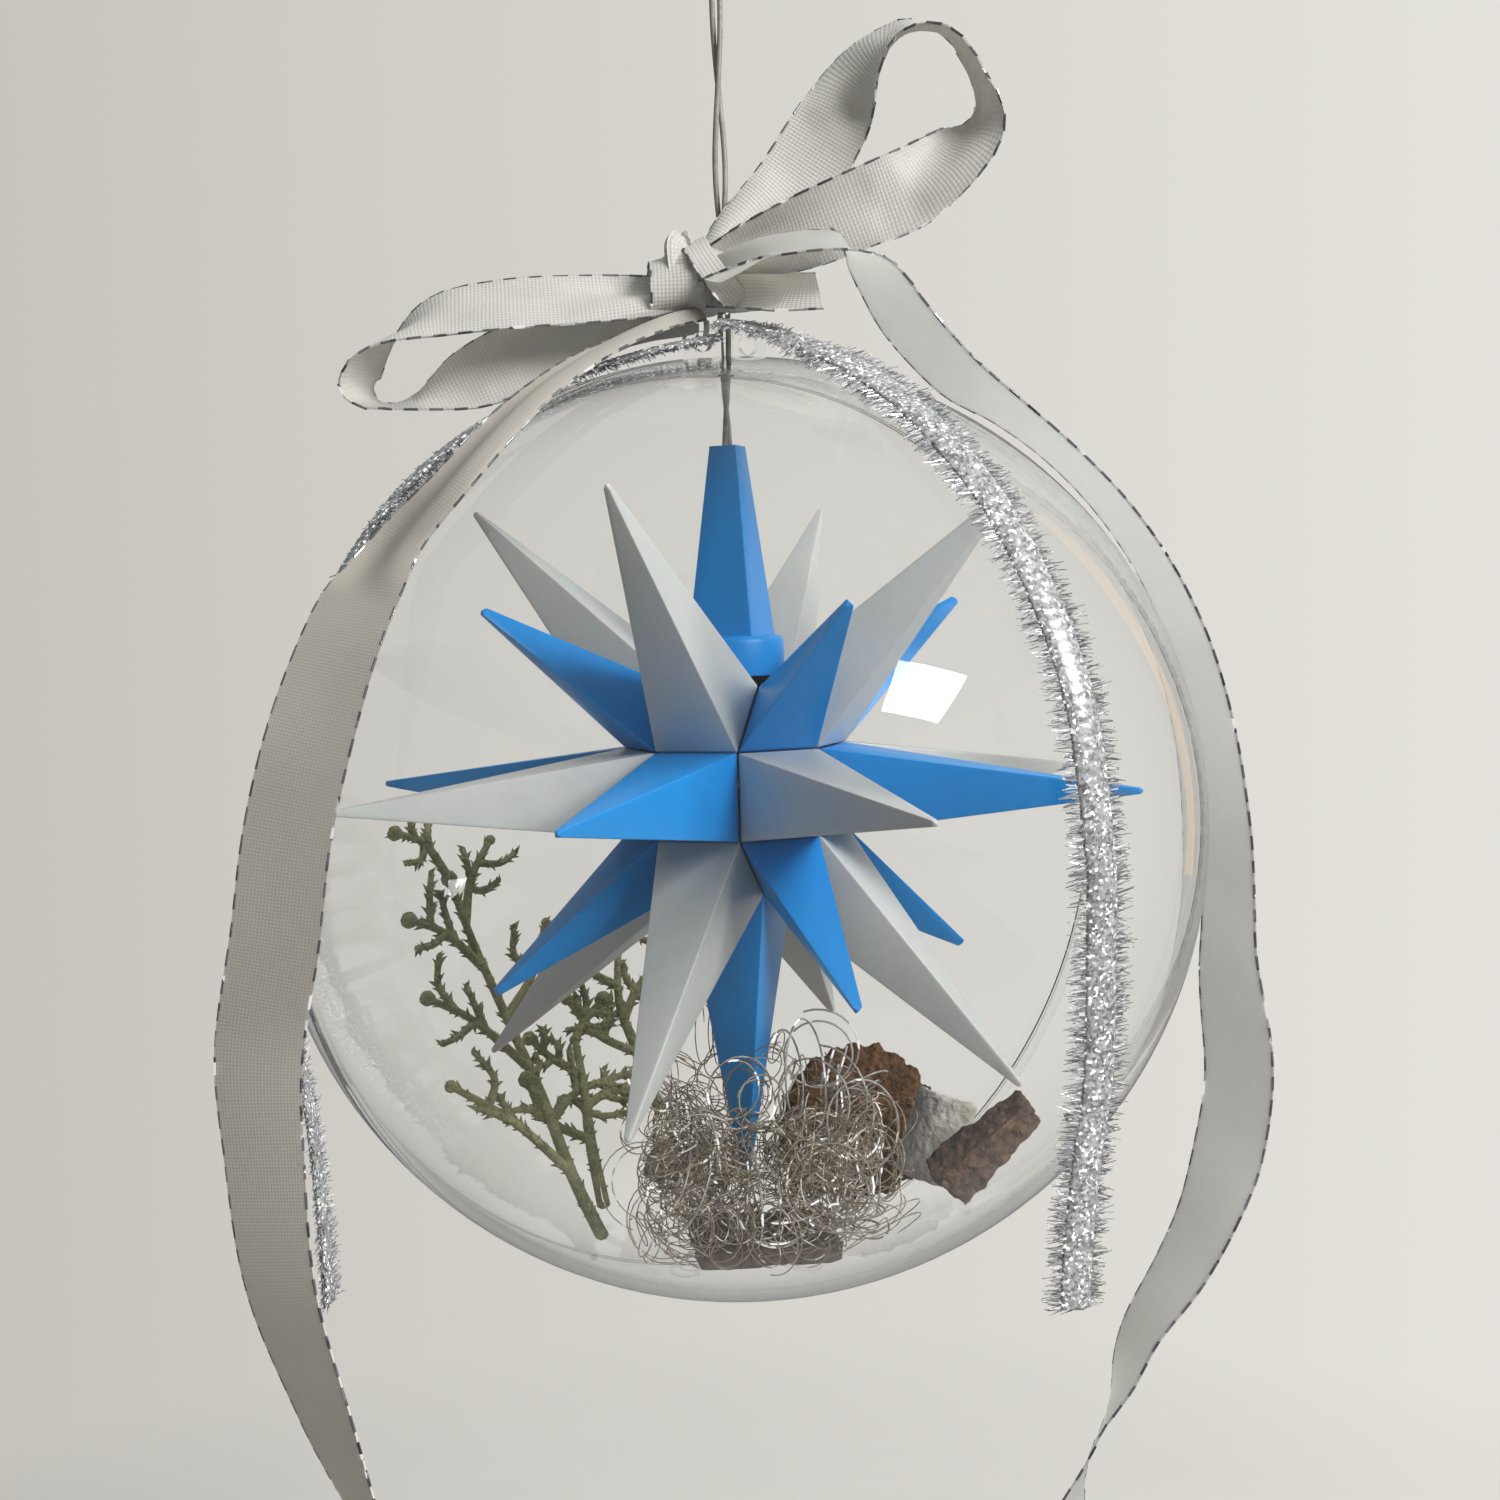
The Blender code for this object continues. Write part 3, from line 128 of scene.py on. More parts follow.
class Sheet:
    """Adds nodes to a node tree, and sets or links their sockets by name."""

    def __init__(self, tree: Tree) -> None:
        """Keeps the tree that the nodes go into."""
        self.tree = tree

    def feed(self, node: Node, inputs: dict) -> Node:
        """Sets or links some of a node's sockets.

        Args:
            node: The node.
            inputs: Socket name or number, and the value or the output that feeds it. A colour has no alpha.

        Returns:
            The node.
        """
        for name, value in inputs.items():
            socket = node.inputs[name]
            if isinstance(value, Socket):
                self.tree.links.new(value, socket)
            else:
                socket.default_value = (*value, 1.0) if socket.type == "RGBA" else value
        return node

    def add(self, kind: str, inputs: dict | None = None, **settings: object) -> Node:
        """Adds one node.

        Args:
            kind: The node's type, such as ShaderNodeMath.
            inputs: What goes into its sockets, as for feed.
            **settings: The node's own properties.

        Returns:
            The node.
        """
        node = self.tree.nodes.new(kind)
        for name, value in settings.items():
            setattr(node, name, value)
        return self.feed(node, inputs or {})

    def first(self, kind: str, inputs: dict | None = None, **settings: object) -> Socket:
        """Adds one node, and gives its first output."""
        return self.add(kind, inputs, **settings).outputs[0]

    def sum(self, operation: str, *values: object) -> Socket:
        """The result of a Math node on numbers or outputs."""
        return self.first("ShaderNodeMath", dict(enumerate(values)), operation=operation)

    def vector(self, operation: str, *values: object) -> Socket:
        """The vector that a Vector Math node gives."""
        return self.first("ShaderNodeVectorMath", dict(enumerate(values)), operation=operation)

    def scaled(self, vector: Socket, size: object) -> Socket:
        """A vector times a number."""
        return self.first("ShaderNodeVectorMath", {0: vector, "Scale": size}, operation="SCALE")

    def blend(self, share: Socket, first: object, second: object) -> Socket:
        """A colour between two colours."""
        return self.add("ShaderNodeMix", {0: share, 6: first, 7: second}, data_type="RGBA").outputs[2]

    def ramp(self, value: object, low: float, high: float, start: float = 0.0, end: float = 1.0) -> Socket:
        """A value read onto another range, held at its ends."""
        slots = {"Value": value, "From Min": low, "From Max": high, "To Min": start, "To Max": end}
        return self.first("ShaderNodeMapRange", slots)

    def place(self) -> Socket:
        """Where a point of the piece lies."""
        return self.add("ShaderNodeTexCoord").outputs["Object"]

    def axes(self, place: Socket | None = None) -> Outputs:
        """A place's X, Y and Z."""
        return self.add("ShaderNodeSeparateXYZ", {0: place or self.place()}).outputs

    def cloud(self, scale: object, detail: float = 2.0, **more: float) -> Socket:
        """Noise over the piece, from nought to one."""
        slots = {"Vector": self.place(), "Scale": scale, "Detail": detail, **more}
        return self.add("ShaderNodeTexNoise", slots).outputs["Fac"]

    def cells(self, scale: object) -> Outputs:
        """The outputs of a pattern of cells over the piece."""
        return self.add("ShaderNodeTexVoronoi", {"Vector": self.place(), "Scale": scale}).outputs

    def group(self, tree: Tree, inputs: dict) -> Outputs:
        """The outputs of a node group whose inputs are set."""
        return self.add("ShaderNodeGroup", inputs, node_tree=tree).outputs

    def bump(self, height: Socket, strength: float, distance: float) -> Socket:
        """The normal of a surface with a relief."""
        return self.first("ShaderNodeBump", {"Strength": strength, "Distance": distance, "Height": height})

    def mix(self, share: object, first: Node, second: Node) -> Node:
        """A shader between two shaders."""
        return self.add("ShaderNodeMixShader", {0: share, 1: first.outputs[0], 2: second.outputs[0]})

    def show(self, shader: Node, output: str = "Material Output") -> None:
        """Makes a shader the surface of the material or the world."""
        self.feed(self.tree.nodes[output], {"Surface": shader.outputs[0]})

    def drawn(self, low: float, high: float, seed: object) -> Socket:
        """A random number for each point or copy."""
        slots = {2: low, 3: high, "Seed": seed}
        return self.add("FunctionNodeRandomValue", slots, data_type="FLOAT").outputs[1]

    def stored(self, label: str, kind: str = "FLOAT_VECTOR") -> Socket:
        """What the points store under a name."""
        return self.first("GeometryNodeInputNamedAttribute", {"Name": label}, data_type=kind)

    def aimed(self, way: Socket) -> Socket:
        """The turn that takes Z to a direction."""
        return self.first("FunctionNodeAlignRotationToVector", {"Vector": way}, axis="Z")

    def along(self, curve: Socket, step: Socket) -> Socket:
        """Points along curves, a step apart."""
        return self.first("GeometryNodeResampleCurve", {"Curve": curve, "Length": step}, mode="LENGTH")

    def copies(self, points: Socket, shape: Socket, more: dict[str, Socket]) -> Socket:
        """Copies of a shape on points."""
        return self.first("GeometryNodeInstanceOnPoints", {"Points": points, "Instance": shape, **more})

    def stretched(self, length: Socket) -> Socket:
        """A scale that only stretches along Z."""
        return self.first("ShaderNodeCombineXYZ", {"X": 1.0, "Y": 1.0, "Z": length})

    def shiny(self, copies: Socket, seed: object) -> Socket:
        """Copies that each store a random "shine"."""
        slots = {"Geometry": copies, "Name": "shine", "Value": self.drawn(0.0, 1.0, seed)}
        return self.first("GeometryNodeStoreNamedAttribute", slots, data_type="FLOAT", domain="INSTANCE")

    def tube(self, curve: Socket, sides: int, radius: object, **more: Socket) -> Socket:
        """A closed tube along curves.

        Args:
            curve: The curves.
            sides: How many faces go round it.
            radius: Its radius.
            **more: What else goes into its sockets, such as Scale.

        Returns:
            The tube.
        """
        section = self.first("GeometryNodeCurvePrimitiveCircle", {"Resolution": sides, "Radius": radius})
        slots = {"Curve": curve, "Profile Curve": section, "Fill Caps": True, **more}
        return self.first("GeometryNodeCurveToMesh", slots)

    def joined(self, *parts: Socket) -> Socket:
        """Several geometries as one, with every copy made real.

        Args:
            *parts: The geometries.

        Returns:
            The whole.
        """
        both = self.add("GeometryNodeJoinGeometry")
        for part in parts:
            self.tree.links.new(part, both.inputs[0])
        return self.first("GeometryNodeRealizeInstances", {0: both.outputs[0]})


def new_group(name: str, kind: str, inputs: Sockets, outputs: Sockets) -> tuple[Sheet, dict, Node]:
    """Starts a node group.

    Args:
        name: The group's name.
        kind: Shader or Geometry.
        inputs: Input names and their socket types, such as Float.
        outputs: Output names and their socket types.

    Returns:
        The sheet to add nodes with, the inputs by name, and the output node.
    """
    tree = bpy.data.node_groups.new(name, f"{kind}NodeTree")
    for way, sockets in (("INPUT", inputs), ("OUTPUT", outputs)):
        for label, socket in sockets.items():
            tree.interface.new_socket(label, in_out=way, socket_type=f"NodeSocket{socket}")
    entry = tree.nodes.new("NodeGroupInput")
    return Sheet(tree), {label: entry.outputs[label] for label in inputs}, tree.nodes.new("NodeGroupOutput")


def new_grower(name: str, numbers: Sequence[str], counts: Sequence[str] = ()) -> tuple[Sheet, dict, Node]:
    """Starts a Geometry Nodes tree that reads a geometry and gives another.

    Args:
        name: The tree's name.
        numbers: The names of its inputs that are sizes.
        counts: The names of its inputs that are whole numbers.

    Returns:
        The sheet to add nodes with, the inputs by name, and the output node.
    """
    inputs = {"Geometry": "Geometry", **dict.fromkeys(numbers, "Float"), **dict.fromkeys(counts, "Int")}
    return new_group(name, "Geometry", {**inputs, "Material": "Material"}, {"Geometry": "Geometry"})


def finished(sheet: Sheet, geometry: Socket, given: dict, result: Node) -> Tree:
    """Ends a Geometry Nodes tree: copies are made real and get the material.

    Args:
        sheet: The tree's sheet.
        geometry: What the tree has made.
        given: The tree's inputs.
        result: Its output node.

    Returns:
        The tree.
    """
    whole = sheet.first("GeometryNodeRealizeInstances", {0: geometry})
    painted = sheet.first("GeometryNodeSetMaterial", {"Geometry": whole, "Material": given["Material"]})
    sheet.feed(result, {"Geometry": painted})
    return sheet.tree


@functools.cache
def grain_group() -> Tree:
    """A mottled, pitted surface, for moulded plastic, bark, wood and dry plants.

    Returns:
        A group with outputs Color, Height and Mask.
    """
    inputs = {"Light": "Color", "Dark": "Color", "Scale": "Float", "Pits": "Float"}
    outputs = {"Color": "Color", "Height": "Float", "Mask": "Float"}
    sheet, given, result = new_group("surface_grain", "Shader", inputs, outputs)
    cell_scale, fine_scale = (sheet.sum("MULTIPLY", given["Scale"], times) for times in (3.0, 6.0))
    mask = sheet.ramp(sheet.cloud(given["Scale"], 5.0, Roughness=0.62), 0.32, 0.68)
    speck = sheet.ramp(sheet.cloud(fine_scale, 3.0), 0.35, 0.65)
    mixed = sheet.sum("MULTIPLY_ADD", speck, 0.35, sheet.sum("MULTIPLY", mask, 0.65))
    pits = sheet.sum("MULTIPLY", sheet.ramp(sheet.cells(cell_scale)["Distance"], 0.0, 0.5), given["Pits"])
    colour = sheet.blend(mixed, given["Dark"], given["Light"])
    sheet.feed(result, {"Color": colour, "Height": sheet.sum("ADD", mixed, pits), "Mask": mask})
    return sheet.tree


@functools.cache
def weave_group() -> Tree:
    """Crossing threads of a woven ribbon, by its UV map: U across it and V along it, both in ribbon widths.

    Returns:
        A group with outputs Height and Shade.
    """
    outputs = {"Height": "Float", "Shade": "Float"}
    sheet, given, result = new_group("ribbon_weave", "Shader", {"Threads": "Float"}, outputs)
    axes = sheet.axes(sheet.first("ShaderNodeUVMap", uv_map="UVMap"))
    turns = sheet.sum("MULTIPLY", given["Threads"], pi)
    across, along = (sheet.sum("MULTIPLY", axes[axis], turns) for axis in "XY")
    diagonals = [sheet.sum("SINE", sheet.sum(sign, across, along)) for sign in ("ADD", "SUBTRACT")]
    thread = sheet.ramp(sheet.sum("MULTIPLY", *diagonals), -0.7, 0.7)
    slub = sheet.cloud(260.0, 3.0)
    height = sheet.sum("ADD", thread, sheet.sum("MULTIPLY", slub, 0.3))
    shade = sheet.sum("MULTIPLY_ADD", thread, 0.6, sheet.sum("MULTIPLY", slub, 0.4))
    sheet.feed(result, {"Height": height, "Shade": shade})
    return sheet.tree


@functools.cache
def glint_group() -> Tree:
    """Facets of foil and drawn wire, painted lighter or darker as if each caught the light differently, for
    tinsel, thread, curls and sleeve.

    A strand may bring a "shine" attribute of its own, which shifts its facets.

    Returns:
        A group with outputs Color, Roughness and Spark, the last a mask of painted glints.
    """
    inputs = {"Light": "Color", "Dark": "Color", "Scale": "Float"}
    outputs = {"Color": "Color", "Roughness": "Float", "Painted Glint": "Color"}
    sheet, given, result = new_group("metal_glint", "Shader", inputs, outputs)
    tone = sheet.first("ShaderNodeSeparateColor", {0: sheet.cells(given["Scale"])["Color"]})
    shine = sheet.add("ShaderNodeAttribute", attribute_name="shine").outputs["Fac"]
    facet = sheet.sum("FRACT", sheet.sum("ADD", tone, shine))
    drift = sheet.cloud(sheet.sum("MULTIPLY", given["Scale"], 0.2))
    share = sheet.sum("MULTIPLY_ADD", facet, 0.7, sheet.sum("MULTIPLY", drift, 0.3))
    colour = sheet.blend(share, given["Dark"], given["Light"])
    # Painted glints: a mask of the brightest facets, for a faint glow.
    painted_glint = sheet.blend(sheet.ramp(facet, 0.86, 0.94), BLACK, WHITE)
    sheet.feed(result, {"Color": colour, "Roughness": sheet.ramp(facet, 0.0, 1.0, 0.34, 0.1), "Painted Glint": painted_glint})
    return sheet.tree


# Finishes


def shaded(name: str) -> tuple[Material, Sheet, Node]:
    """Starts a material with one Principled shader.

    Args:
        name: The material's name.

    Returns:
        The material, the sheet to add nodes with, and the shader.
    """
    made = bpy.data.materials.new(name)
    made.use_nodes = True
    return made, Sheet(made.node_tree), made.node_tree.nodes["Principled BSDF"]


@dataclass(frozen=True)
class Grained:
    """A surface whose colour, roughness and relief follow one grain, over a body that may glow a little."""

    name: str
    light: Colour
    dark: Colour
    scale: float
    relief: float
    relief_depth: float
    pits: float
    rough: Pair
    body_glow: float = 0.0
    glow_depth: float = 1.2 * MM

    def material(self) -> Material:
        """Makes the finish.

        Returns:
            The material.
        """
        made, sheet, shader = shaded(self.name)
        slots = {"Light": self.light, "Dark": self.dark, "Scale": self.scale, "Pits": self.pits}
        grain = sheet.group(grain_group(), slots)
        rough = sheet.ramp(grain["Mask"], 0, 1, *self.rough)
        sheet.feed(shader, {"Base Color": grain["Color"], "Roughness": rough})
        sheet.feed(shader, {"Subsurface Weight": self.body_glow, "Subsurface Scale": self.glow_depth})
        if self.relief > 0.0:
            sheet.feed(shader, {"Normal": sheet.bump(grain["Height"], self.relief, self.relief_depth)})
        return made


@dataclass(frozen=True)
class MouldedPlastic(Grained):
    """Satin moulded plastic with faint flow marks and a soft, slightly see-through body."""

    scale: float = 90.0
    relief: float = 0.05
    relief_depth: float = 0.2 * MM
    pits: float = 0.15
    rough: Pair = (0.32, 0.46)
    body_glow: float = 0.25


@dataclass(frozen=True)
class DryMatter(Grained):
    """Bark, wood, lichen and dried sprigs: matt, mottled and rough."""

    relief: float = 0.5
    relief_depth: float = 0.6 * MM
    pits: float = 0.6
    rough: Pair = (0.85, 0.65)


@dataclass(frozen=True)
class Insulation(Grained):
    """The pale plastic skin of the cable, darker where it has been handled."""

    light: Colour = (0.50, 0.46, 0.40)
    dark: Colour = (0.26, 0.235, 0.20)
    scale: float = 160.0
    relief: float = 0.0
    relief_depth: float = 0.0
    pits: float = 0.1
    rough: Pair = (0.34, 0.5)


@dataclass(frozen=True)
class ClearAcrylic:
    """Clear moulded acrylic with handling marks, and dust low down that is painted as a faint glow. Light
    passes through it.
    """

    name: str
    tint: Colour = (0.985, 0.99, 0.99)
    shadow_tint: Colour = (0.97, 0.975, 0.975)
    bending: float = 1.3
    haze: float = 0.02
    # How strongly the dust low down is painted as a glow.
    dust: float = 0.035
    dust_glow_tint: Colour = (1.0, 0.99, 0.95)
    dust_glow_levels: Pair = (BALL_CENTRE.z - 58 * MM, BALL_CENTRE.z - 74 * MM)

    def material(self) -> Material:
        """Makes the finish.

        Returns:
            The material.
        """
        made, sheet, shader = shaded(self.name)
        # Dust low down is painted as a faint glow: emission that grows towards the ball's bottom.
        dust_glow_share = sheet.ramp(sheet.axes()["Z"], *self.dust_glow_levels, 0.0, self.dust)
        marks = sheet.ramp(sheet.cloud(45.0, 6.0, Roughness=0.7), 0.5, 0.8, 0.0, self.haze)
        dust_glow_colour = sheet.blend(dust_glow_share, BLACK, self.dust_glow_tint)
        sheet.feed(shader, {"Base Color": self.tint, "Roughness": marks, "Transmission Weight": 1.0})
        sheet.feed(shader, {"IOR": self.bending, "Emission Color": dust_glow_colour, "Emission Strength": 1.0})
        path = sheet.add("ShaderNodeLightPath").outputs
        passing = sheet.sum("MAXIMUM", path["Is Shadow Ray"], path["Is Diffuse Ray"])
        through = sheet.add("ShaderNodeBsdfTransparent", {"Color": self.shadow_tint})
        sheet.show(sheet.mix(passing, shader, through))
        return made


@dataclass(frozen=True)
class WovenSatin:
    """Off-white woven ribbon with a silvery sheen. A long tail may get painted light that makes it paler
    towards its hanging end.
    """

    name: str
    light: Colour = (0.90, 0.88, 0.83)
    dark: Colour = (0.76, 0.74, 0.69)
    threads: float = 20.0
    through: float = 0.25
    relief: float = 0.5
    # How much painted light makes a tail paler towards its hanging end.
    hanging: float = 0.0
    painted_light_colour: Colour = (0.97, 0.925, 0.84)
    painted_light_levels: Pair = (-165 * MM, -215 * MM)
    thread_height: float = 0.12 * MM

    def material(self) -> Material:
        """Makes the finish.

        Returns:
            The material.
        """
        made, sheet, shader = shaded(self.name)
        weave = sheet.group(weave_group(), {"Threads": self.threads})
        colour = sheet.blend(weave["Shade"], self.dark, self.light)
        # Blotches of painted shade, as if the ribbon were rumpled, darken it here and there.
        painted_crease_shade = sheet.ramp(sheet.cloud(60.0), 0.35, 0.7, 0.0, 0.3)
        colour = sheet.blend(painted_crease_shade, colour, self.dark)
        # Painted light: the tail is painted paler towards its hanging end.
        if self.hanging > 0.0:
            low = sheet.ramp(sheet.axes()["Z"], *self.painted_light_levels, 0.0, self.hanging)
            colour = sheet.blend(low, colour, self.painted_light_colour)
        rough = sheet.ramp(weave["Shade"], 0, 1, 0.62, 0.4)
        normal = sheet.bump(weave["Height"], self.relief, self.thread_height)
        sheet.feed(shader, {"Base Color": colour, "Roughness": rough, "Normal": normal})
        sheet.feed(shader, {"Sheen Weight": 0.25, "Sheen Roughness": 0.4})
        behind = sheet.add("ShaderNodeBsdfTranslucent", {"Color": colour})
        sheet.show(sheet.mix(self.through, shader, behind))
        return made


@dataclass(frozen=True)
class BrightMetal:
    """Foil, thread or drawn wire whose facets glint, with painted light: lighter and darker facets, and painted
    glints that glow a little.
    """

    name: str
    light: Colour
    dark: Colour
    scale: float
    metallic: float = 1.0
    # How strongly the painted glints glow.
    painted_glint: float = 0.0

    def material(self) -> Material:
        """Makes the finish.

        Returns:
            The material.
        """
        made, sheet, shader = shaded(self.name)
        glint = sheet.group(glint_group(), {"Light": self.light, "Dark": self.dark, "Scale": self.scale})
        sheet.feed(shader, {"Base Color": glint["Color"], "Roughness": glint["Roughness"]})
        # Painted glints: the brightest facets glow.
        sheet.feed(shader, {"Emission Color": glint["Painted Glint"], "Emission Strength": self.painted_glint})
        sheet.feed(shader, {"Metallic": self.metallic})
        return made


@dataclass(frozen=True)
class LampLens:
    """The cast lens of the lamp: clear resin with a warm core."""

    name: str
    warm: Colour = (0.95, 0.86, 0.62)
    clear: Colour = (0.97, 0.94, 0.86)

    def material(self) -> Material:
        """Makes the finish.

        Returns:
            The material.
        """
        made, sheet, shader = shaded(self.name)
        tint = sheet.blend(sheet.cloud(300.0), self.warm, self.clear)
        sheet.feed(shader, {"Base Color": tint, "Roughness": 0.12, "Transmission Weight": 0.8})
        return made


# Shapes


def link(obj: Object) -> Object:
    """Puts an object into the scene."""
    bpy.context.scene.collection.objects.link(obj)
    return obj


def mesh_object(name: str, points: Iterable, faces: Iterable, surface: Material, smooth: bool = True) -> Object:
    """An object from points and faces.

    Args:
        name: The piece's name.
        points: Its points, in the part's frame.
        faces: The point numbers of each face.
        surface: Its material.
        smooth: Whether its faces are shaded as one smooth surface.

    Returns:
        The object.
    """
    mesh = bpy.data.meshes.new(name)
    mesh.from_pydata([tuple(point) for point in points], [], list(faces))
    mesh.update()
    mesh.materials.append(surface)
    if smooth:
        mesh.shade_smooth()
    return link(bpy.data.objects.new(name, mesh))


def merged(node: str) -> BMesh:
    """A CAD node's mesh with its loose triangles joined into whole faces.

    Args:
        node: The node's name.

    Returns:
        The mesh, in the part's frame.
    """
    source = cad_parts[node]
    bm = bmesh.new()
    bm.from_mesh(source.data)
    bm.transform(source.matrix_world)
    bmesh.ops.remove_doubles(bm, verts=bm.verts, dist=JOIN_REACH)
    bmesh.ops.dissolve_limit(bm, angle_limit=FLAT_ANGLE, verts=bm.verts, edges=bm.edges)
    bmesh.ops.recalc_face_normals(bm, faces=bm.faces)
    return bm


def from_bmesh(name: str, bm: BMesh, surface: Material, sharp: float | None = None) -> Object:
    """An object from a bmesh, which is freed.

    Args:
        name: The piece's name.
        bm: The mesh.
        surface: Its material.
        sharp: Edges over this many degrees stay sharp on an otherwise smooth surface.

    Returns:
        The object.
    """
    mesh = bpy.data.meshes.new(name)
    bm.to_mesh(mesh)
    bm.free()
    mesh.materials.append(surface)
    if sharp is not None:
        mesh.shade_smooth()
        mesh.set_sharp_from_angle(angle=radians(sharp))
    return link(bpy.data.objects.new(name, mesh))


def plain_mesh(obj: Object, name: str) -> Object:
    """Turns an object with live modifiers into a plain mesh object, and removes the first.

    Args:
        obj: The object with its modifiers.
        name: The new object's name.

    Returns:
        The plain object.
    """
    bpy.context.view_layer.update()
    graph = bpy.context.evaluated_depsgraph_get()
    mesh = bpy.data.meshes.new_from_object(obj.evaluated_get(graph), depsgraph=graph)
    bpy.data.objects.remove(obj)
    mesh.name = name
    return link(bpy.data.objects.new(name, mesh))


def grown(source: Object, tree: Tree, values: dict[str, object], name: str) -> Object:
    """Runs a Geometry Nodes tree on a source object and keeps the result as a plain mesh.

    Args:
        source: The object whose points or curves the tree reads. It is removed.
        tree: The node tree.
        values: Its inputs by name.
        name: The new object's name.

    Returns:
        The plain object.
    """
    step = source.modifiers.new(tree.name, "NODES")
    step.node_group = tree
    names = {item.name: item.identifier for item in tree.interface.items_tree if item.in_out == "INPUT"}
    for label, value in values.items():
        step[names[label]] = value
    return plain_mesh(source, name)


def scattered(name: str, places: Points, stored: dict[str, Sequence]) -> Object:
    """Loose points that each store some vectors or numbers, for a Geometry Nodes tree to read.

    Args:
        name: The object's name.
        places: The points.
        stored: The name of each thing stored, and its value at each point.

    Returns:
        The object.
    """
    mesh = bpy.data.meshes.new(name)
    mesh.from_pydata([tuple(place) for place in places], [], [])
    for label, values in stored.items():
        if isinstance(values[0], float):
            mesh.attributes.new(label, "FLOAT", "POINT").data.foreach_set("value", values)
        else:
            layer = mesh.attributes.new(label, "FLOAT_VECTOR", "POINT")
            layer.data.foreach_set("vector", [number for value in values for number in value])
    return link(bpy.data.objects.new(name, mesh))


def dress(obj: Object, body: Body, slot: Slot, node: str | None = None) -> Object:
    """Ties a piece to its body, and hides the CAD node that it stands for, if any.

    Args:
        obj: The piece.
        body: The body that it rides on.
        slot: Its material slot in the record. Not used.
        node: The CAD node that it stands for.

    Returns:
        The piece.
    """
    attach(obj, body.value)
    if node:
        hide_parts(node)
    LOG.info("%s rides on %s, %d faces", obj.name, body.value, len(getattr(obj.data, "polygons", ())))
    return obj


def spline(points: Sequence, per_span: int) -> list[Vector]:
    """Points read from a smooth curve through a route's own points.

    Args:
        points: The route.
        per_span: How many points are read between two of the route's.

    Returns:
        The points read.
    """
    route = [Vector(point) for point in points]
    ends = [2 * route[0] - route[1], *route, 2 * route[-1] - route[-2]]
    read = []
    for before, start, end, after in zip(ends, ends[1:], ends[2:], ends[3:]):
        for step in range(per_span):
            t = step / per_span
            bend = (2 * before - 5 * start + 4 * end - after) * t**2
            bend += (3 * start - before - 3 * end + after) * t**3
            read.append(0.5 * (2 * start + (end - before) * t + bend))
    read.append(route[-1])
    return read


def tangents(centres: Points) -> list[Vector]:
    """The direction of a route at each of its points."""
    last = len(centres) - 1
    return [(centres[min(i + 1, last)] - centres[max(i - 1, 0)]).normalized() for i in range(len(centres))]


def trimmed(points: Points, spare: float) -> list[Vector]:
    """A route without its points that are nearer to an end than that."""
    whole = route_length(points)
    return [point for i, point in enumerate(points) if spare <= route_length(points[: i + 1]) <= whole - spare]


def route_length(centres: Points) -> float:
    """The length of a route."""
    return sum((end - start).length for start, end in zip(centres, centres[1:]))


def beside_ball(azimuth: float, elevation: float, clear: float) -> Vector:
    """A place outside the ball.

    Args:
        azimuth: Degrees about the ball's centre, from +X.
        elevation: Degrees up from the level of its centre.
        clear: Millimetres clear of the ball.

    Returns:
        The place.
    """
    azimuth, elevation = radians(azimuth), radians(elevation)
    reach = BALL_RADIUS + clear * MM
    level = reach * cos(elevation)
    x, y = level * cos(azimuth), level * sin(azimuth)
    return BALL_CENTRE + Vector((x, y, reach * sin(elevation)))


def in_ball(azimuth: float, elevation: float, depth: float) -> Vector:
    """A place inside the ball, in degrees about its centre and metres in from where a piece rests on it."""
    return beside_ball(azimuth, elevation, (BALL_ROOM - depth - BALL_RADIUS) / MM)


def beside_route(stations: Stations, per_span: int) -> Route:
    """A strip's route beside the ball.

    Args:
        stations: Azimuth, elevation, millimetres clear of the ball, and roll, which is 0 for lying flat on it.
        per_span: How many points are read between two stations.

    Returns:
        The middle of the strip, and the direction across it, at each point.
    """
    centres = spline([beside_ball(*station[:3]) for station in stations], per_span)
    rolls = [radians(value.x) for value in spline([(station[3], 0, 0) for station in stations], per_span)]
    directions = []
    for centre, along, roll in zip(centres, tangents(centres), rolls):
        radial = centre - BALL_CENTRE
        out = (radial - along * radial.dot(along)).normalized()
        directions.append(along.cross(out) * cos(roll) + out * sin(roll))
    return centres, directions


def path_curves(name: str, routes: Sequence[tuple[Points, Sequence[float] | None]]) -> Object:
    """A curve object with one open spline for each route.

    Args:
        name: The object's name.
        routes: Each route's points, and the radius at each of them.

    Returns:
        The object.
    """
    curve = bpy.data.curves.new(name, "CURVE")
    curve.dimensions = "3D"
    for points, radii in routes:
        line = curve.splines.new("POLY")
        line.points.add(len(points) - 1)
        for i, (slot, point) in enumerate(zip(line.points, points)):
            slot.co = (*point, 1)
            slot.radius = radii[i] if radii else 1.0
    return link(bpy.data.objects.new(name, curve))


def wire_curve(name: str, points: Points, diameter: float, surface: Material) -> Object:
    """A round wire along points, as a curve of one spline.

    Args:
        name: The piece's name.
        points: The wire's middle.
        diameter: Its diameter.
        surface: Its material.

    Returns:
        The object.
    """
    made = path_curves(name, [(points, None)])
    made.data.bevel_depth = diameter / 2
    made.data.bevel_resolution = 3
    made.data.use_fill_caps = True
    made.data.materials.append(surface)
    return made


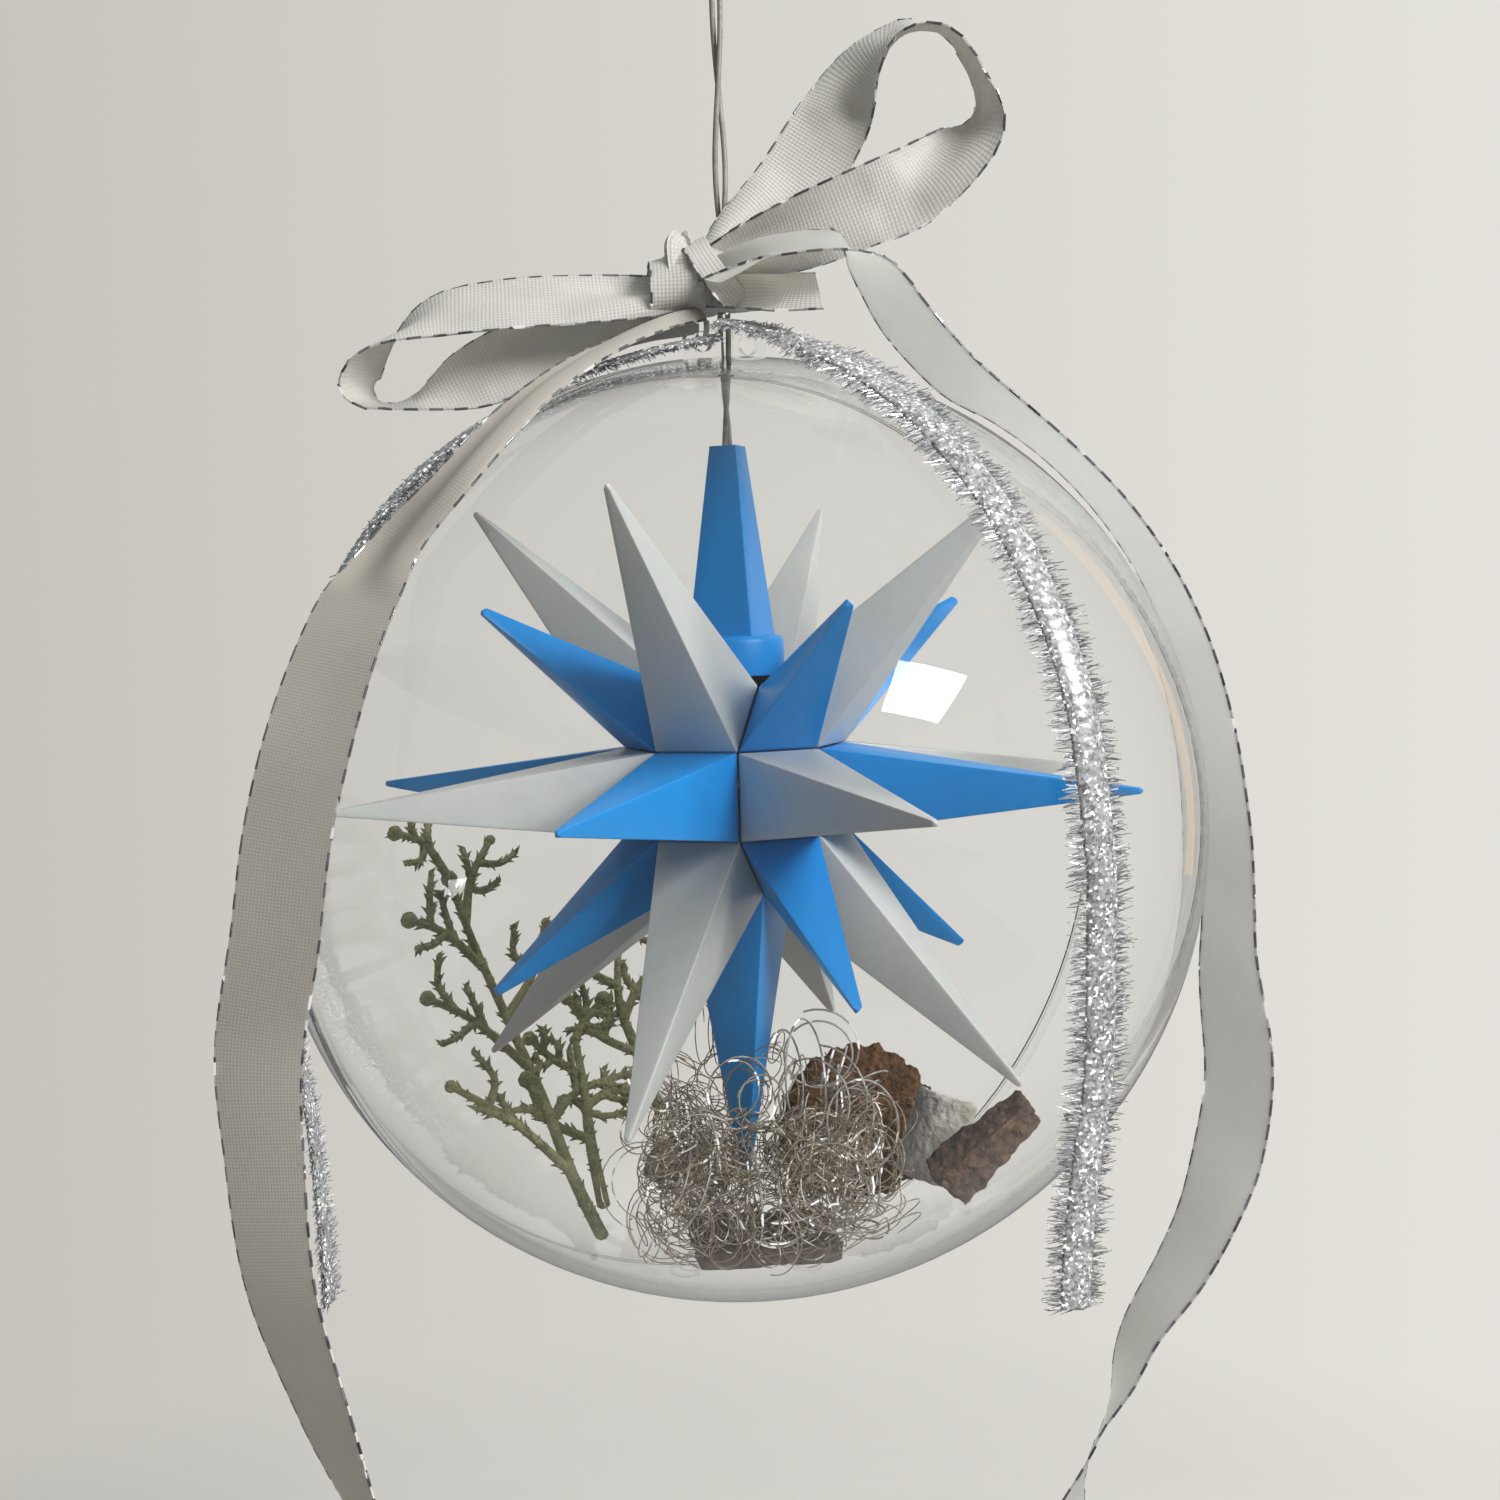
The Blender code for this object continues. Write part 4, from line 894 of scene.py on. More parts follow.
def skinned(name: str, rings: Sequence[Points], surface: Material) -> Object:
    """A closed tube through rings of points.

    Args:
        name: The piece's name.
        rings: The rings, each with as many points.
        surface: Its material.

    Returns:
        The object.
    """
    sides = len(rings[0])
    last = (len(rings) - 1) * sides
    faces = [tuple(range(sides))[::-1]]
    for low in range(0, last, sides):
        for side in range(sides):
            after = (side + 1) % sides
            faces.append((low + side, low + after, low + sides + after, low + sides + side))
    faces.append(tuple(range(last, last + sides)))
    return mesh_object(name, [point for ring in rings for point in ring], faces, surface)


def wire_tube(name: str, points: Points, diameter: float, surface: Material) -> Object:
    """A round wire along points, as a closed mesh.

    Args:
        name: The piece's name.
        points: The wire's middle.
        diameter: Its diameter.
        surface: Its material.

    Returns:
        The object.
    """
    rings = []
    turns = [tau * side / WIRE_SIDES for side in range(WIRE_SIDES)]
    right = tangents(points)[0].orthogonal().normalized()
    for point, along in zip(points, tangents(points)):
        right = (right - along * right.dot(along)).normalized()
        up = along.cross(right)
        rings.append([point + (right * cos(a) + up * sin(a)) * diameter / 2 for a in turns])
    return skinned(name, rings, surface)


# The studio


@dataclass(frozen=True)
class Reflection:
    """Something bright in the room, as the pairs of pixels that bound its reflection in the ball."""

    name: str
    pairs: Sequence[tuple[Pair, Pair]]
    colour: Colour
    strength: float


@dataclass
class Studio:
    """Camera, soft light, floor and backdrop."""

    camera_place: Vector = field(default_factory=lambda: Vector((3.0, -331.5, 31.1)) * MM + STAR_CENTRE)
    pitch: float = radians(4.356)
    roll: float = radians(-1.459)
    lens: float = 49.86
    sensor: float = 36.0
    picture_side: int = 1500
    # The backdrop is painted darker on the left and lighter on the right, as the room's light falls.
    backdrop_shaded_left: Colour = (0.56, 0.545, 0.505)
    backdrop_lit_right: Colour = (0.775, 0.755, 0.71)
    room_colour: Colour = (0.95, 0.98, 1.0)
    ambient: float = 0.18
    key_pixel: Pair = (926, 692)
    key_size: Pair = (0.6, 0.5)
    key_power: float = 15.2
    overhead_place: Vector = field(default_factory=lambda: Vector((0.1, 0.1, 1.1)))
    overhead_size: Pair = (1.0, 0.8)
    overhead_power: float = 5.0
    room_distance: float = 1.2
    floor_height: float = -0.36
    floor_near: float = 0.22
    floor_far: float = 0.36
    floor_pale: Colour = (0.94, 0.91, 0.85)
    floor_fibre: Colour = (0.90, 0.87, 0.81)
    floor_bounce: Colour = (0.30, 0.29, 0.275)
    floor_through: Colour = (0.66, 0.64, 0.60)
    view_slopes: Pair = (-0.4, 0.34)
    even_slopes: Pair = (0.5, 0.9)
    least_ahead: float = 0.4
    sweep_half: float = 2.2
    sweep_bend: float = 0.6
    sweep_back: float = 1.9
    sweep_top: float = 2.6
    sweep_steps: int = 10

    REFLECTIONS = (
        Reflection("window", (((898, 660), (968, 676)), ((881, 711), (938, 723))), WHITE, 45.0),
        Reflection("pane", (((448, 880), (467, 878)), ((449, 901), (458, 893))), WHITE, 22.0),
        Reflection("pane_low", (((372, 1058), (378, 1054)), ((392, 1086), (397, 1080))), WHITE, 5.0),
        Reflection("pane_side", (((326, 915), (331, 914)), ((325, 938), (330, 938))), WHITE, 4.0),
        Reflection(
            "door",
            (
                ((1030, 512), (1046, 516)), ((1076, 556), (1094, 562)), ((1110, 600), (1126, 604)),
                ((1138, 642), (1150, 646)), ((1158, 682), (1169, 685)), ((1173, 724), (1182, 727)),
                ((1181, 764), (1190, 766)), ((1187, 804), (1194, 806)), ((1187, 844), (1194, 845)),
                ((1183, 884), (1191, 885)), ((1174, 930), (1182, 932)),
            ),
            (0.75, 0.42, 0.16),
            1.4,
        ),
    )

    def build(self) -> None:
        """Builds the whole studio."""
        bpy.context.scene.view_settings.view_transform = "Standard"
        self.aim_camera()
        self.light_world()
        self.hang_lamps()
        self.lay_floor()

    def aim_camera(self) -> None:
        """Puts the camera where the photograph was taken from."""
        data = bpy.data.cameras.new("photo_camera")
        data.lens = self.lens
        data.sensor_width = self.sensor
        data.clip_start = 0.01
        camera = link(bpy.data.objects.new("photo_camera", data))
        right, ahead, up = self.view_axes()
        turn = Matrix((right, up, -ahead)).transposed().to_4x4()
        camera.matrix_world = Matrix.Translation(self.camera_place) @ turn
        bpy.context.scene.camera = camera

    def light_world(self) -> None:
        """An even, dim room. Seen past the object or through it, it has the backdrop's colour."""
        world = bpy.data.worlds.new("room")
        bpy.context.scene.world = world
        world.use_nodes = True
        sheet = Sheet(world.node_tree)
        slots = {"Color": self.room_colour, "Strength": self.ambient}
        room = sheet.feed(world.node_tree.nodes["Background"], slots)
        middle = [(left + right) / 2 for left, right in zip(self.backdrop_shaded_left, self.backdrop_lit_right)]
        seen = sheet.add("ShaderNodeBackground", {"Color": middle, "Strength": 1.0})
        sheet.show(sheet.mix(self.seen_rays(sheet), room, seen), "World Output")

    def seen_rays(self, sheet: Sheet) -> Socket:
        """One for rays from the camera, also through glass, and nought for the rest."""
        path = sheet.add("ShaderNodeLightPath")
        return sheet.sum("MAXIMUM", path.outputs["Is Camera Ray"], path.outputs["Is Transmission Ray"])

    def view_axes(self) -> tuple[Vector, Vector, Vector]:
        """The camera's right, ahead and up."""
        right, ahead, up = Matrix.Rotation(self.pitch, 3, "X") @ Matrix.Rotation(self.roll, 3, "Y")
        return right, ahead, up

    def mirrored(self, pixel: Pair, distance: float) -> tuple[Vector, Vector]:
        """Where a lamp hangs whose reflection in the ball's front shows at one pixel of the picture.

        Args:
            pixel: The pixel, from the picture's upper left corner.
            distance: How far the lamp is from the ball.

        Returns:
            The lamp's place, and the point of the ball that mirrors it.
        """
        right, ahead, up = self.view_axes()
        focus = self.lens / self.sensor * self.picture_side
        across, down = (value - self.picture_side / 2 for value in pixel)
        ray = (ahead * focus + right * across - up * down).normalized()
        start = self.camera_place - BALL_CENTRE
        near = start.dot(ray)
        reach = -near - sqrt(near**2 - start.length_squared + BALL_RADIUS**2)
        point = self.camera_place + ray * reach
        return point + ray.reflect((point - BALL_CENTRE).normalized()) * distance, point

    def hang_lamps(self) -> None:
        """A window to the right as the main light, a broad lamp overhead, and what else the ball reflects."""
        window, mirror = self.mirrored(self.key_pixel, self.room_distance)
        for name, place, target, size, power in (
            ("window_light", window, mirror, self.key_size, self.key_power),
            ("overhead", self.overhead_place, BALL_CENTRE, self.overhead_size, self.overhead_power),
        ):
            data = bpy.data.lights.new(name, "AREA")
            data.shape = "RECTANGLE"
            data.size, data.size_y = size
            data.energy = power
            lamp = link(bpy.data.objects.new(name, data))
            lamp.location = place
            lamp.rotation_euler = (target - place).to_track_quat("-Z", "Y").to_euler()
            lamp.visible_glossy = False
            lamp.visible_transmission = False
        for reflection in self.REFLECTIONS:
            self.hang_card(reflection)

    def hang_card(self, reflection: Reflection) -> None:
        """A bright card that only shows as a reflection in the ball.

        Args:
            reflection: Where it is reflected, and how bright it is.
        """
        made, sheet, unlit = shaded(reflection.name)
        sheet.tree.nodes.remove(unlit)
        dim = [0.8 * value for value in reflection.colour]
        colour = sheet.blend(sheet.cloud(9.0), dim, reflection.colour)
        sheet.show(sheet.add("ShaderNodeEmission", {"Color": colour, "Strength": reflection.strength}))
        pixels = [pixel for pair in reflection.pairs for pixel in pair]
        points = [self.mirrored(pixel, self.room_distance)[0] for pixel in pixels]
        faces = [(i, i + 1, i + 3, i + 2) for i in range(0, len(points) - 2, 2)]
        card = mesh_object(reflection.name, points, faces, made, smooth=False)
        for ray in ("camera", "diffuse", "transmission", "volume_scatter", "shadow"):
            setattr(card, f"visible_{ray}", False)

    def floor_paint(self) -> Material:
        """Pale near the object, where the floor takes its shadow, and the backdrop's plain colour away from it.

        Returns:
            The floor's material.
        """
        made, sheet, shader = shaded("studio_sweep")
        path = sheet.add("ShaderNodeLightPath").outputs
        pale = sheet.blend(sheet.cloud(35.0, 4.0), self.floor_fibre, self.floor_pale)
        thrown = sheet.blend(path["Is Transmission Ray"], self.floor_bounce, self.floor_through)
        sheet.feed(shader, {"Base Color": sheet.blend(path["Is Camera Ray"], thrown, pale), "Roughness": 0.9})
        dim = sheet.add("ShaderNodeEmission", {"Color": self.room_colour, "Strength": self.ambient})
        mirrored = sheet.sum("SUBTRACT", path["Is Glossy Ray"], path["Is Transmission Ray"])
        lit = sheet.mix(sheet.sum("MAXIMUM", mirrored, 0.0), shader, dim)
        plain = sheet.add("ShaderNodeEmission", {"Color": self.wall_colour(sheet), "Strength": 1.0})
        far = sheet.add("ShaderNodeVectorMath", {0: sheet.place()}, operation="LENGTH").outputs["Value"]
        away = sheet.ramp(far, self.floor_near, self.floor_far)
        sheet.show(sheet.mix(sheet.sum("MULTIPLY", away, self.seen_rays(sheet)), lit, plain))
        return made

    def wall_colour(self, sheet: Sheet) -> Socket:
        """The backdrop's colour, with painted light that makes it lighter from left to right as the camera sees
        it, and even beyond its view.

        Args:
            sheet: The material's sheet.

        Returns:
            The colour.
        """
        axes = sheet.axes()
        ahead = sheet.sum("ABSOLUTE", sheet.sum("SUBTRACT", axes["Y"], self.camera_place.y))
        slope = sheet.sum("DIVIDE", axes["X"], sheet.sum("MAXIMUM", ahead, self.least_ahead))
        side = sheet.ramp(slope, *self.view_slopes)
        past = sheet.ramp(sheet.sum("ABSOLUTE", slope), *self.even_slopes)
        even = sheet.sum("MULTIPLY_ADD", sheet.sum("SUBTRACT", 0.5, side), past, side)
        return sheet.blend(even, self.backdrop_shaded_left, self.backdrop_lit_right)

    def lay_floor(self) -> None:
        """A floor that sweeps up into a backdrop."""
        half, bend, steps = self.sweep_half, self.sweep_bend, self.sweep_steps
        foot = self.sweep_back - bend
        profile = [(y, 0.0) for y in (-half, -0.5, 0.0, 0.5, foot)]
        for angle in (pi / 2 * step / steps for step in range(1, steps + 1)):
            profile.append((foot + bend * sin(angle), bend * (1 - cos(angle))))
        profile.append((self.sweep_back, self.sweep_top))
        points = [Vector((side * half, y, z)) for y, z in profile for side in (-1, 1)]
        faces = [(2 * i, 2 * i + 1, 2 * i + 3, 2 * i + 2) for i in range(len(profile) - 1)]
        sweep = mesh_object("studio_sweep", points, faces, self.floor_paint())
        sweep.location = (0, 0, self.floor_height)


# The cable


@dataclass
class Cable:
    """The twisted pair that the bauble hangs on, with its loop and sleeve, and its drop to the lamp."""

    wire_diameter: float = 0.85 * MM
    lay_radius: float = 0.62 * MM
    lay_pitch: float = 50.0 * MM
    crossing_height: float = -31.0 * MM
    spread: float = 0.16 * MM
    spread_height: float = -45.0 * MM
    spread_reach: float = 10.0 * MM
    step: float = 1.1 * MM
    outer_low: float = -73.2 * MM
    outer_high: float = -9.9 * MM
    inner_low: float = -113.73 * MM
    inner_high: float = -73.5 * MM
    lift_keep: float = 0.776

    def lay_point(self, height: float, turn: float) -> Vector:
        """A wire's place in the pair. The lay opens a little above the bow.

        Args:
            height: How high the place is.
            turn: Where the wire starts, round the pair.

        Returns:
            The place.
        """
        loose = exp(-(((height - self.spread_height) / self.spread_reach) ** 2))
        radius = self.lay_radius + self.spread * loose
        angle = tau * (height - self.crossing_height) / self.lay_pitch + pi / 2 + turn
        return Vector((radius * cos(angle), radius * sin(angle), height))

    def route(self, low: float, high: float, turn: float) -> list[Vector]:
        """One wire's middle between two heights, from the lower."""
        count = round((high - low) / self.step)
        return [self.lay_point(low + (high - low) * i / count, turn) for i in range(count + 1)]

    def build(self) -> None:
        """Builds and dresses the cable: for each wire, its length up to the sleeve and its drop to the lamp."""
        skin = Insulation("cable_insulation").material()
        metal = BrightMetal("sleeve_nickel", (0.78, 0.77, 0.74), (0.5, 0.49, 0.47), 900.0).material()
        sleeve = from_bmesh("hanging_sleeve", merged("hanger_sleeve"), metal, sharp=50)
        dress(sleeve, Body.HANGER, Slot.SLEEVE_METAL, "hanger_sleeve")
        loop = from_bmesh("hanging_loop", merged("hanger_loop"), skin, sharp=60)
        dress(loop, Body.HANGER, Slot.CABLE_PALE, "hanger_loop")
        for letter, turn, fitting in (("a", 0.0, sleeve), ("b", pi, loop)):
            points = self.route(self.outer_low, self.outer_high, turn)
            outer = wire_curve(f"cable_{letter}", points, self.wire_diameter, skin)
            dress(outer, Body.HANGER, Slot.CABLE_PALE, f"cable_wire_{letter}")
            route_length(points)
            points = self.route(self.inner_low, self.inner_high, turn)[::-1]
            inner = wire_tube(f"lamp_drop_{letter}", points, self.wire_diameter, skin)
            dress(inner, Body.STAR, Slot.CABLE_PALE, f"inner_wire_{letter}")
            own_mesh(inner)
            route_length(points)


# The star and its lamp

STAR_BLUE = ((0.011, 0.335, 0.85), (0.009, 0.295, 0.77))


@dataclass
class Star:
    """Twenty-five moulded points in blue and white, with crisp but rounded edges."""

    edge_round: float = 0.16 * MM
    least_edge_angle: float = radians(18)
    blue: MouldedPlastic = MouldedPlastic("point_blue", *STAR_BLUE)
    white: MouldedPlastic = MouldedPlastic(
        "point_white", (0.68, 0.69, 0.67), (0.62, 0.63, 0.61), body_glow=0.35
    )

    def build(self) -> None:
        """Builds and dresses every point."""
        blue, white = self.blue.material(), self.white.material()
        rings = ("equator", "upper", "lower")
        for node, step in [(f"{ring}_point_{step}", step) for ring in rings for step in range(1, 9)]:
            is_blue = (step % 2 == 1) == node.startswith("equator")
            self.point(node, blue if is_blue else white, Slot.STAR_BLUE if is_blue else Slot.STAR_WHITE)
        self.point("bottom_point", blue, Slot.STAR_BLUE)

    def point(self, node: str, surface: Material, slot: Slot) -> None:
        """One point, with its edges rounded."""
        skin = rounded(f"{node}_moulding", merged(node), surface, self.edge_round, self.least_edge_angle)
        dress(skin, Body.STAR, slot, node)


def rounded(name: str, bm: BMesh, surface: Material, offset: float, least_angle: float) -> Object:
    """A piece with its sharp edges rounded.

    Args:
        name: The piece's name.
        bm: Its mesh.
        surface: Its material.
        offset: How far in from each edge the rounding starts.
        least_angle: Edges flatter than this are left alone.

    Returns:
        The object.
    """
    edges = [edge for edge in bm.edges if edge.calc_face_angle(0.0) > least_angle]
    flat = set(bm.faces)
    made = bmesh.ops.bevel(
        bm, geom=edges, offset=offset, segments=2, profile=0.6, affect="EDGES", clamp_overlap=True
    )
    rounding = set(made["faces"])
    for face in bm.faces:
        face.smooth = face in rounding or face not in flat
    return from_bmesh(name, bm, surface)


@dataclass
class Lamp:
    """The spire and collar on the star's top, with the black socket and the lamp inside."""

    edge_round: float = 0.22 * MM
    least_edge_angle: float = radians(25)
    blue: MouldedPlastic = MouldedPlastic("spire_blue", *STAR_BLUE)
    black: MouldedPlastic = MouldedPlastic(
        "socket_black", (0.03, 0.03, 0.032), (0.015, 0.015, 0.016), body_glow=0.0
    )

    def build(self) -> None:
        """Builds and dresses the lamp."""
        for name, node, finish, slot in (
            ("spire_moulding", "top_cap", self.blue, Slot.STAR_BLUE),
            ("socket_moulding", "lamp_socket", self.black, Slot.LAMP_BLACK),
        ):
            skin = rounded(name, merged(node), finish.material(), self.edge_round, self.least_edge_angle)
            dress(skin, Body.LAMP_CAP, slot, node)
        lens = from_bmesh("lamp_bulb", merged("led"), LampLens("lamp_resin").material(), sharp=40)
        dress(lens, Body.LAMP_CAP, Slot.LAMP_LENS, "led")


# The clear ball


@dataclass
class Ball:
    """The two halves of the clear ball, with their stepped seam, ears and cable hole."""

    segments: int = 144
    arc_steps: int = 40
    clearance: float = 0.3 * MM
    tongue: float = 2.0 * MM
    ear_steps: int = 20
    rod_sides: int = 32
    ear_width: float = 6.0 * MM
    ear_height: float = 5.4 * MM
    ear_thickness: float = 1.6 * MM
    ear_root: float = 0.55 * MM
    ear_offset: float = 4.6 * MM
    eye_diameter: float = 3.2 * MM
    hole_diameter: float = 3.0 * MM

    def build(self) -> None:
        """Builds and dresses both halves."""
        clear = ClearAcrylic("ball_acrylic").material()
        for half, node, body in (
            (Half.FRONT, "front_shell", Body.BAUBLE),
            (Half.REAR, "rear_shell", Body.REAR_HALF),
        ):
            shell = self.half_shell(half, node, clear)
            dress(shell, body, Slot.BALL_CLEAR, node)

    def arc(self, radius: float, start: float, end: float) -> list[Pair]:
        """Points of a circle about the ball's centre as (radius, height), by angle from the seam."""
        angles = [start + (end - start) * step / self.arc_steps for step in range(self.arc_steps + 1)]
        return [(radius * cos(angle), radius * sin(angle)) for angle in angles]

    def profile(self, half: Half) -> list[Pair]:
        """The section of one half, from pole to pole.

        Args:
            half: Which half it is.

        Returns:
            Its points as radius and height, where the height runs along the seam's normal.
        """
        middle = BALL_INSIDE + BALL_WALL / 2
        pole = pi / 2
        if half is Half.FRONT:
            lip = middle - self.clearance / 2
            outer = self.arc(BALL_RADIUS, pole, 0)
            inner = self.arc(BALL_INSIDE, 0, pole)
            step = [(lip, 0), (lip, -self.tongue), (BALL_INSIDE, -self.tongue)]
            return [(0, BALL_RADIUS), *outer[1:], *step, *inner[:-1], (0, BALL_INSIDE)]
        lip = middle + self.clearance / 2
        seat = self.tongue + self.clearance
        outer = self.arc(BALL_RADIUS, -asin(self.clearance / BALL_RADIUS), -pole)
        inner = self.arc(BALL_INSIDE, -pole, -asin(seat / BALL_INSIDE))
        step = [(lip, -seat), (lip, -self.clearance)]
        return [(0, -BALL_INSIDE), *inner[1:], *step, *outer[:-1], (0, -BALL_RADIUS)]

    def half_shell(self, half: Half, node: str, clear: Material) -> Object:
        """One half as a closed shell, with its ear joined on and its holes cut.

        Args:
            half: Which half it is.
            node: The CAD node that it stands for.
            clear: Its material.

        Returns:
            The object.
        """
        bm = bmesh.new()
        points = [bm.verts.new((radius, 0, height)) for radius, height in self.profile(half)]
        edges = [bm.edges.new(pair) for pair in zip(points, points[1:])]
        whole = {"axis": (0, 0, 1), "angle": tau, "steps": self.segments, "use_merge": True}
        bmesh.ops.spin(bm, geom=points + edges, **whole)
        bmesh.ops.remove_doubles(bm, verts=bm.verts, dist=1e-7)
        bmesh.ops.recalc_face_normals(bm, faces=bm.faces)
        shell = from_bmesh(f"{node}_raw", bm, clear)
        side = -half.value
        eye_height = BALL_RADIUS + self.ear_height - self.ear_width / 2
        ear_at = Matrix.Translation((side * self.ear_offset, eye_height, 0))
        reach = self.tongue + self.ear_thickness + 2 * self.clearance
        upright = Matrix.Rotation(radians(90), 4, "X")
        top = Matrix.Translation((0, BALL_RADIUS, 0)) @ upright
        tools = [
            (self.ear(half, side, clear), "UNION"),
            (self.rod(self.eye_diameter, 2 * reach, ear_at, clear), "DIFFERENCE"),
            (self.rod(self.hole_diameter, 4 * reach, top, clear), "DIFFERENCE"),
        ]
        for tool, operation in tools:
            step = shell.modifiers.new(operation.lower(), "BOOLEAN")
            step.operation = operation
            step.object = tool
        made = plain_mesh(shell, f"{node}_clear")
        for tool, operation in tools:
            bpy.data.objects.remove(tool)
        turn = Matrix.Rotation(SEAM_TURN, 4, "Z") @ upright
        made.data.transform(Matrix.Translation(BALL_CENTRE) @ turn)
        made.data.shade_smooth()
        made.data.set_sharp_from_angle(angle=radians(30))
        return made

    def ear(self, half: Half, side: int, clear: Material) -> Object:
        """A rounded tab beside the cable. Here Y is up and Z is the seam's normal.

        Args:
            half: The half that it belongs to.
            side: Which side of the cable it stands on.
            clear: Its material.

        Returns:
            The object.
        """
        wide = self.ear_width / 2
        low = BALL_RADIUS - self.ear_root
        turn = BALL_RADIUS + self.ear_height - wide
        angles = [pi * i / self.ear_steps for i in range(self.ear_steps + 1)]
        arc = [(wide * cos(angle), turn + wide * sin(angle)) for angle in angles]
        near = self.clearance if half is Half.FRONT else -self.clearance - self.ear_thickness
        bm = bmesh.new()
        outline = [(-wide, low), (wide, low), *arc]
        face = bm.faces.new(bm.verts.new((side * self.ear_offset + x, y, near)) for x, y in outline)
        made = bmesh.ops.extrude_face_region(bm, geom=[face])
        moved = [part for part in made["geom"] if isinstance(part, BMVert)]
        bmesh.ops.translate(bm, vec=(0, 0, self.ear_thickness), verts=moved)
        bmesh.ops.recalc_face_normals(bm, faces=bm.faces)
        return from_bmesh("ear", bm, clear)

    def rod(self, diameter: float, length: float, place: Matrix, clear: Material) -> Object:
        """A round cutter.

        Args:
            diameter: Its diameter.
            length: Its length.
            place: Where its middle lies, and how it is turned from Z.
            clear: Its material.

        Returns:
            The object.
        """
        bm = bmesh.new()
        radius = diameter / 2
        shape = {"segments": self.rod_sides, "radius1": radius, "radius2": radius, "depth": length}
        bmesh.ops.create_cone(bm, cap_ends=True, matrix=place, **shape)
        return from_bmesh("rod", bm, clear)


# The ribbon


